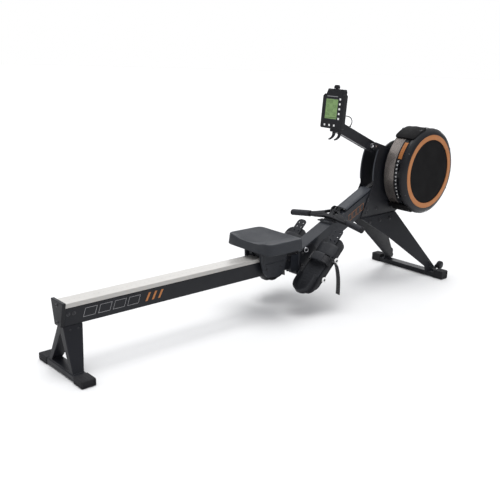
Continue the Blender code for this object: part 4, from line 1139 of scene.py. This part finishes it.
def make_carriage_details():
    details = Shapes()
    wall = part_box("seat_carriage")[1].y
    for sign in (1, -1):
        panels = [[(-0.16, 0.33), (-0.005, 0.33), (-0.012, 0.286), (-0.154, 0.286)],
                  [(-0.144, 0.278), (-0.016, 0.278), (-0.03, 0.229), (-0.124, 0.229)]]
        for outline in panels:
            details.plate(outline, -0.0008, 0.0014, on_side(sign, wall), crown=(0.003, 0.0008))
    details.piece("carriage_panels", "grey", "seat", bevel=0.0008)
    screws = Shapes()
    for sign in (1, -1):
        for node in ("seat_roller_rear", "seat_roller_front"):
            point = middle(node)
            screws.bolt((point.x, sign * (wall + 0.001), point.z), (0, sign, 0), 0.0068)
        for x in (-0.13, -0.04):
            screws.bolt((x, sign * (wall + 0.0015), 0.25), (0, sign, 0), 0.0048)
    screws.piece("carriage_screws", "bolts", "seat", angle=30.0)
    pan = Shapes()
    outline = rounded(SEAT.x - 0.096, SEAT.x + 0.099, -0.142, 0.142, 0.03, 6)
    pan.plate(outline, SEAT_UNDER - 0.003, SEAT_UNDER + 0.0001)
    pan.piece("seat_base_pan", "plastic", "seat", bevel=0.0012)


# ---- footrests ----
BOARD_HALF = 0.006
SOLE = BOARD_HALF + 0.0003
HEEL_TOP = SOLE + 0.005
FOOT_OFF_CENTRE = 0.131
# the strap's middle up the board, and the direction up the board
STRAP_Y = 0.03
UP_BOARD = FOOT.to_3x3() @ Vector((0, 1, 0))


def make_footboard_back(side, sign):
    shell = Shapes()
    board_low, board_high = sorted((-sign * 0.065, -sign * 0.1985))
    shell.plate(rounded(board_low, board_high, -0.138, 0.169, 0.038, 6), -0.02, -BOARD_HALF - 0.0004,
                FOOT, crown=(0.003, 0.0015))
    shell.piece(f"footboard_back_{side}", "plastic", bevel=0.001)


def make_heel_rest(side, centre):
    heel = f"heel_{side}"
    treads = Shapes()
    for i in range(11):
        y = -0.125 + i * 0.015
        reach = 0.036 if i > 1 else 0.03
        treads.plate(rounded(centre - reach, centre + reach, y - 0.0024, y + 0.0024, 0.0022, 3),
                     HEEL_TOP - 0.0004, HEEL_TOP + 0.0007, FOOT, crown=(0.0015, 0.0003))
    treads.piece(f"heel_treads_{side}", "heel", heel)
    rims = Shapes()
    for dx in (-0.015, 0.015):
        for dy in (0.152, 0.178, 0.204):
            place = FOOT @ Matrix.Translation((centre + dx, dy, HEEL_TOP))
            rims.lathe([(0.0046, -0.0003), (0.0068, -0.0003), (0.0064, 0.0007), (0.0048, 0.0007)], place, 20)
    rims.piece(f"heel_hole_rims_{side}", "grey", heel)


def make_toe_band(side, centre):
    toe = Shapes()
    path = []
    for i in range(13):
        t = -1 + i / 6
        lift = -0.0014 + 0.0227 * (1 - abs(t) ** 2.4)
        path.append(FOOT @ Vector((centre + 0.064 * t, 0.093, SOLE + lift)))
    toe.sweep(path, band_section(0.033, 0.0012, 0.001), across=UP_BOARD)
    toe.piece(f"toe_band_{side}", "heel", subdivide=1)


def make_foot_strap(side, sign, centre):
    """The band over the foot, the sleeve around it, its buckle and its hanging tail."""
    strap = Shapes()
    half = 0.053
    side_rise = [(half + 0.0085, -0.006), (half + 0.0085, 0.006), (half + 0.007, 0.016), (half, 0.026),
                 (half - 0.016, 0.035), (0.02, 0.04)]
    rise = [(-a, b) for a, b in side_rise] + [(0.0, 0.0412)] + side_rise[::-1]
    path = smooth_route([FOOT @ Vector((centre + a, STRAP_Y, SOLE + b)) for a, b in rise], 3)
    strap.sweep(path, band_section(0.019, 0.0009, 0.0003), across=UP_BOARD)
    band = strap.piece(f"foot_strap_band_{side}", "webbing")
    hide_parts(f"foot_strap_{side}")
    sleeve = Shapes()
    soft = smooth_route([FOOT @ Vector((centre + a, STRAP_Y, SOLE + b)) for a, b in rise[4:9]], 4)
    under = [(-0.0245, 0.0006), (-0.0235, -0.0022), (0.0, -0.003), (0.0235, -0.0022)]
    over = [(0.0245, 0.0006), (0.0235, 0.0026), (0.0, 0.0036), (-0.0235, 0.0026)]
    sleeve.sweep(soft, under + over, across=UP_BOARD)
    sleeve.piece(f"strap_sleeve_{side}", "heel", subdivide=1)
    outward = -sign
    edge = centre + outward * (half + 0.0098)
    buckle = Shapes()
    place = FOOT @ Matrix.Translation((edge, STRAP_Y, SOLE + 0.008))
    place = place @ Matrix.Rotation(outward * math.pi / 2, 4, "Y")
    buckle.plate(rounded(-0.0185, 0.0165, -0.024, 0.024, 0.004), 0.0004, 0.0046, place, crown=(0.003, 0.001))
    buckle.plate(rounded(-0.006, 0.016, -0.0195, 0.0195, 0.003), 0.005, 0.0078, place, crown=(0.003, 0.001))
    buckle.piece(f"strap_buckle_{side}", "plastic", bevel=0.0007)
    reach = (FOOT @ Vector((edge + outward * 0.0066, STRAP_Y, SOLE))).y
    drop = ((0.182, 0.0, 0.27), (0.196, 0.004, 0.266), (0.213, 0.006, 0.248), (0.227, 0.006, 0.216),
            (0.237, 0.005, 0.18), (0.243, 0.004, 0.144), (0.246, 0.003, 0.11), (0.247, 0.002, 0.082))
    tail = Shapes()
    tail.sweep(smooth_route([(x, reach + sign * off, z) for x, off, z in drop], 4),
               band_section(0.015, 0.0008, 0.0003), across=(0, sign, 0))
    tail.piece(f"strap_tail_{side}", "webbing")


def make_footrests():
    """In the board's frame a left foot has negative x."""
    for side, sign in (("left", 1), ("right", -1)):
        centre = -sign * FOOT_OFF_CENTRE
        make_footboard_back(side, sign)
        make_heel_rest(side, centre)
        make_toe_band(side, centre)
        make_foot_strap(side, sign, centre)


def make_bar_ends():
    caps = Shapes()
    cores = Shapes()
    for bar in (BAR_UP, BAR_LOW):
        for sign in (1, -1):
            place = facing((bar.x, sign * BAR_END, bar.z), (0, sign, 0))
            caps.lathe([(0.0094, -0.004), (0.0138, -0.004), (0.0146, -0.002), (0.014, 0.0012),
                        (0.0075, 0.0024), (0.0064, 0.0004), (0.0094, -0.0004)], place, 28)
            cores.lathe([(0.0, 0.0004), (0.0068, 0.0004), (0.006, 0.0016), (0.0034, 0.0022), (0.003, 0.001),
                         (0.0, 0.001)], place, 20)
    caps.piece("bar_end_caps", "white", angle=40.0)
    cores.piece("bar_end_screws", "bolts", angle=30.0)


# ---- handle and belt ----
GRIP_RADIUS = 0.0166


def make_grips():
    ends = Shapes()
    for sign in (1, -1):
        place = HANDLE @ Matrix.Translation((-sign * 0.242, 0.0, 0.0))
        place = place @ Matrix.Rotation(-sign * math.pi / 2, 4, "Y")
        ends.lathe([(0.0, 0.0), (0.0164, 0.0), (0.0168, 0.003), (0.0158, 0.0072), (0.0116, 0.0098),
                    (0.0, 0.0104)], place, 32)
    ends.piece("grip_end_caps", "rubber", "handle", angle=50.0)
    sleeves = Shapes()
    for sign in (1, -1):
        start = HANDLE @ Vector((-sign * 0.14, 0.021, 0.0))
        end = HANDLE @ Vector((-sign * 0.244, 0.0008, 0.0))
        long = (end - start).length
        count = 22
        profile = [(GRIP_RADIUS - 0.0008, 0.0), (GRIP_RADIUS, 0.0008)]
        for i in range(count):
            rib = long * (i + 0.5) / count
            profile += [(GRIP_RADIUS, rib - 0.0012), (GRIP_RADIUS + 0.0005, rib), (GRIP_RADIUS, rib + 0.0012)]
        profile += [(GRIP_RADIUS, long - 0.0008), (GRIP_RADIUS - 0.0008, long)]
        sleeves.lathe(profile, facing(start, end - start), 32)
    sleeves.piece("grip_sleeves", "grip", "handle", angle=60.0)
    collars = Shapes()
    for sign in (1, -1):
        start = HANDLE @ Vector((-sign * 0.129, 0.0222, 0.0))
        end = HANDLE @ Vector((-sign * 0.142, 0.0205, 0.0))
        route = [start.lerp(end, share) for share in (0.0, 0.2, 0.8, 1.0)]
        collars.tube(route, 0.0172, 24, scale=(0.9, 1.0, 1.0, 0.93))
    collars.piece("grip_collars", "plastic", "handle")


def make_shackle():
    """The arch, pin and lugs that hold the belt's loop."""
    bridge = Shapes()
    for sign in (1, -1):
        arch = ((0.01, 0.064, 0.008), (0.012, 0.072, 0.017), (0.0115, 0.086, 0.021),
                (0.009, 0.1, 0.017), (0.009, 0.107, 0.006))
        route = [HANDLE @ Vector((sign * x, y, z)) for x, y, z in arch]
        bridge.tube(smooth_route(route, 4), 0.003, 12)
    pin = [HANDLE @ Vector((x, 0.1065, 0.0035)) for x in (-0.019, 0.019)]
    bridge.tube(pin, 0.0042, 16)
    bridge.piece("belt_shackle", "bolts", "handle")
    lugs = Shapes()
    for sign in (1, -1):
        place = HANDLE @ Matrix(((0, 0, sign, sign * 0.0165), (1, 0, 0, 0), (0, 1, 0, 0), (0, 0, 0, 1)))
        lug = arc((0.102, 0.003), 0.0105, -90, 90, 8) + [(0.07, 0.01), (0.07, -0.006)]
        lugs.plate(lug, 0.0, 0.0042, place)
    lugs.piece("shackle_lugs", "plastic", "handle", bevel=0.0009)


def make_yoke_details():
    ribs = Shapes()
    for sign in (1, -1):
        arch = ((0.05, 0.0395), (0.08, 0.031), (0.11, 0.0255), (0.128, 0.0225))
        route = [HANDLE @ Vector((sign * x, y, 0.0094)) for x, y in arch]
        ribs.sweep(smooth_route(route, 4), rib_section(0.0022, 0.0014, -0.0012, 0.001),
                   across=HANDLE.to_3x3() @ Vector((0, 1, 0)))
    ribs.piece("yoke_ribs", "plastic", "handle")
    screws = Shapes()
    out = HANDLE.to_3x3() @ Vector((0, 0, 1))
    for x in (-0.118, -0.03, 0.03, 0.118):
        y = 0.023 if abs(x) > 0.1 else 0.0345
        screws.bolt(HANDLE @ Vector((x, y, 0.009)), out, 0.0036, washer=False)
    screws.piece("yoke_screws", "bolts", "handle", angle=30.0)


def make_belt():
    start = HANDLE @ Vector((0.0, 0.106, 0.0035))
    mouth_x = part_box("belt_cover")[0].x
    mouth = Vector((mouth_x + 0.002, 0.0, boom_height(mouth_x) + 0.0064))
    far = Vector((0.7, 0.0, boom_height(0.7) + 0.005))
    drum = Vector((FAN.x - 0.013, 0.0, FAN.z + 0.029))
    path = []
    for a, b in ((start, mouth), (mouth, far), (far, drum)):
        path += [a.lerp(b, i / 10) for i in range(10)]
    path.append(drum)
    belt = Shapes()
    belt.sweep(path, band_section(0.0125, 0.001, 0.0003), across=(0, 1, 0))
    band = belt.piece("pull_belt_band", "webbing", None)
    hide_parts("pull_belt")
    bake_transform(band)
    loop = Shapes()
    centre = HANDLE @ Vector((0.0, 0.1065, 0.0035))
    sleeve = [(0.0044, -0.0125), (0.0068, -0.0125), (0.0068, 0.0125), (0.0044, 0.0125)]
    loop.lathe(sleeve, axle(centre, 1), 24)
    loop.piece("belt_loop", "webbing", "handle", angle=40.0)


# ---- monitor ----
def zero(shapes, x, y, size, matrix):
    """Six bars of a zero, with its lower left corner at x, y."""
    width, height, bar = size * 0.55, size, size * 0.1
    trim = bar * 0.12
    bars = ((0, height - bar, width, height), (width - bar, height / 2, width, height),
            (width - bar, 0, width, height / 2), (0, 0, width, bar), (0, 0, bar, height / 2),
            (0, height / 2, bar, height))
    for x0, y0, x1, y1 in bars:
        shapes.block((x + x0 + trim, y + y0 + trim, 0.0), (x + x1 - trim, y + y1 - trim, 0.00012), matrix)


def make_display():
    panel = MONITOR @ Matrix.Translation((0, 0, -0.00035))
    ink = Shapes()
    rows = ((0.1295, 4, 0.013, -0.04), (0.107, 2, 0.012, -0.04), (0.107, 3, 0.012, 0.002),
            (0.086, 4, 0.012, -0.033), (0.066, 3, 0.0115, -0.04), (0.066, 2, 0.0115, 0.008))
    for y, count, size, x in rows:
        for i in range(count):
            zero(ink, x + i * size * 0.8, y, size, panel)
    for y in (0.1248, 0.1022, 0.0812):
        ink.block((-0.043, y, 0.0), (0.031, y + 0.0005, 0.00012), panel)
    for i in range(12):
        x = -0.0415 + i * 0.006
        ink.block((x, 0.054, 0.0), (x + 0.0042, 0.0555 + 0.0003 * i, 0.00012), panel)
    ink.piece("display_figures", "ink", "monitor")


def make_monitor_face():
    bezel = Shapes()
    bezel.frame(rounded(-0.05, 0.038, 0.045, 0.153, 0.003), rounded(-0.0462, 0.0342, 0.0488, 0.1492, 0.001),
                -0.0004, 0.001, MONITOR)
    bezel.piece("display_bezel", "grey", "monitor", bevel=0.0005)
    strip = Shapes()
    strip.plate(rounded(-0.042, 0.03, 0.16, 0.1635, 0.0014), -0.0002, 0.0005, MONITOR)
    strip.piece("monitor_strip", "silver", "monitor", bevel=0.0002)
    rims = Shapes()
    for number in range(1, 9):
        at = MONITOR.inverted() @ middle(f"monitor_button_{number}")
        outer, inner = (rounded(at.x - half, at.x + half, at.y - half, at.y + half, corner, 2)
                        for half, corner in ((0.0072, 0.002), (0.0056, 0.0012)))
        rims.frame(outer, inner, -0.0001, 0.0007, MONITOR)
    rims.piece("button_rims", "grey", "monitor", bevel=0.0002, segments=1)


def make_monitor_back():
    back = Shapes()
    rear = MONITOR @ Matrix.Translation((0, 0, -0.03)) @ Matrix.Rotation(math.pi, 4, "Y")
    back.plate(rounded(-0.056, 0.056, 0.056, 0.152, 0.008), -0.0004, 0.006, rear, crown=(0.006, 0.004))
    back.plate(rounded(-0.03, 0.03, 0.07, 0.132, 0.004), 0.0101, 0.0113, rear)
    for i in range(6):
        y = 0.078 + i * 0.0095
        back.block((-0.022, y, 0.011), (0.022, y + 0.003, 0.012), rear)
    back.piece("monitor_back_cover", "plastic", "monitor", bevel=0.001)
    screws = Shapes()
    out = MONITOR.to_3x3() @ Vector((0, 0, -1))
    for x, y in ((-0.064, 0.016), (0.064, 0.016), (-0.064, 0.162), (0.056, 0.162)):
        screws.bolt(MONITOR @ Vector((x, y, -0.0301)), out, 0.003, washer=False)
    screws.piece("monitor_screws", "bolts", "monitor", angle=30.0)


def make_monitor_hooks():
    """The neck on the arm, the hooks and the tilt knobs."""
    neck = Shapes()
    neck.block((-0.006, -0.015, -0.029), (0.058, 0.004, -0.004), MONITOR)
    neck.piece("monitor_neck", "plastic", "monitor", bevel=0.003, segments=3)
    hooks = Shapes()
    for y in (-0.012, -0.05):
        route = [(0.358, y, 0.902), (0.357, y, 0.888), (0.354, y, 0.876), (0.348, y + 0.002, 0.866),
                 (0.338, y + 0.005, 0.858), (0.327, y + 0.008, 0.855)]
        hooks.sweep(smooth_route(route, 4), band_section(0.0055, 0.004, 0.001), across=(0, 1, 0),
                    scale=[1.55 - 0.95 * i / 20 for i in range(21)])
    hooks.piece("monitor_hooks", "plastic", "monitor")
    knob = Shapes()
    for sign in (1, -1):
        knob.lathe([(0.0, 0.0), (0.0105, 0.0), (0.011, 0.002), (0.0095, 0.0052), (0.0, 0.006)],
                   facing((0.388, sign * 0.0238, 0.917), (0, sign, 0)), 28)
    knob.piece("tilt_knobs", "plastic", "monitor", angle=40.0)


def make_arm_details():
    strip = Shapes()
    under = -0.028
    along = Vector((-math.cos(ARM_SLOPE), 0, math.sin(ARM_SLOPE)))
    across = Vector((math.sin(ARM_SLOPE), 0, math.cos(ARM_SLOPE)))
    for y in (-0.013, 0.013):
        start = ARM_PIVOT + across * (under - 0.0004) + Vector((0, y, 0))
        path = [start + along * reach for reach in (0.03, 0.15, 0.296)]
        strip.sweep(path, rib_section(0.002, 0.0014, -0.001, 0.001), across=(0, 1, 0))
    strip.piece("arm_under_lips", "silver", "arm")
    cap = Shapes()
    matrix = axes((0, -1, 0), across, along, ARM_PIVOT + along * 0.308)
    cap.plate(rounded(-0.0165, 0.0165, -0.0265, 0.01, 0.003), -0.0002, 0.0018, matrix, crown=(0.002, 0.0008))
    cap.piece("arm_end_cap", "plastic", "arm", bevel=0.0005)


for make in (make_camera, make_light, make_floor, make_cable, dress_frame, make_rail_details,
             make_track_details, make_end_plate_screws, make_foot_caps, make_stand_screws, make_welds,
             make_wheel_hubs, make_boom_details, make_boom_sockets, make_belt_cover_details,
             make_tower_details, make_damper_details, make_fan_rings, make_fan_clamps,
             make_left_cover_details, make_seat, make_carriage_details, make_footrests, make_bar_ends,
             make_grips, make_shackle, make_yoke_details, make_belt, make_display, make_monitor_face,
             make_monitor_back, make_monitor_hooks, make_arm_details):
    make()
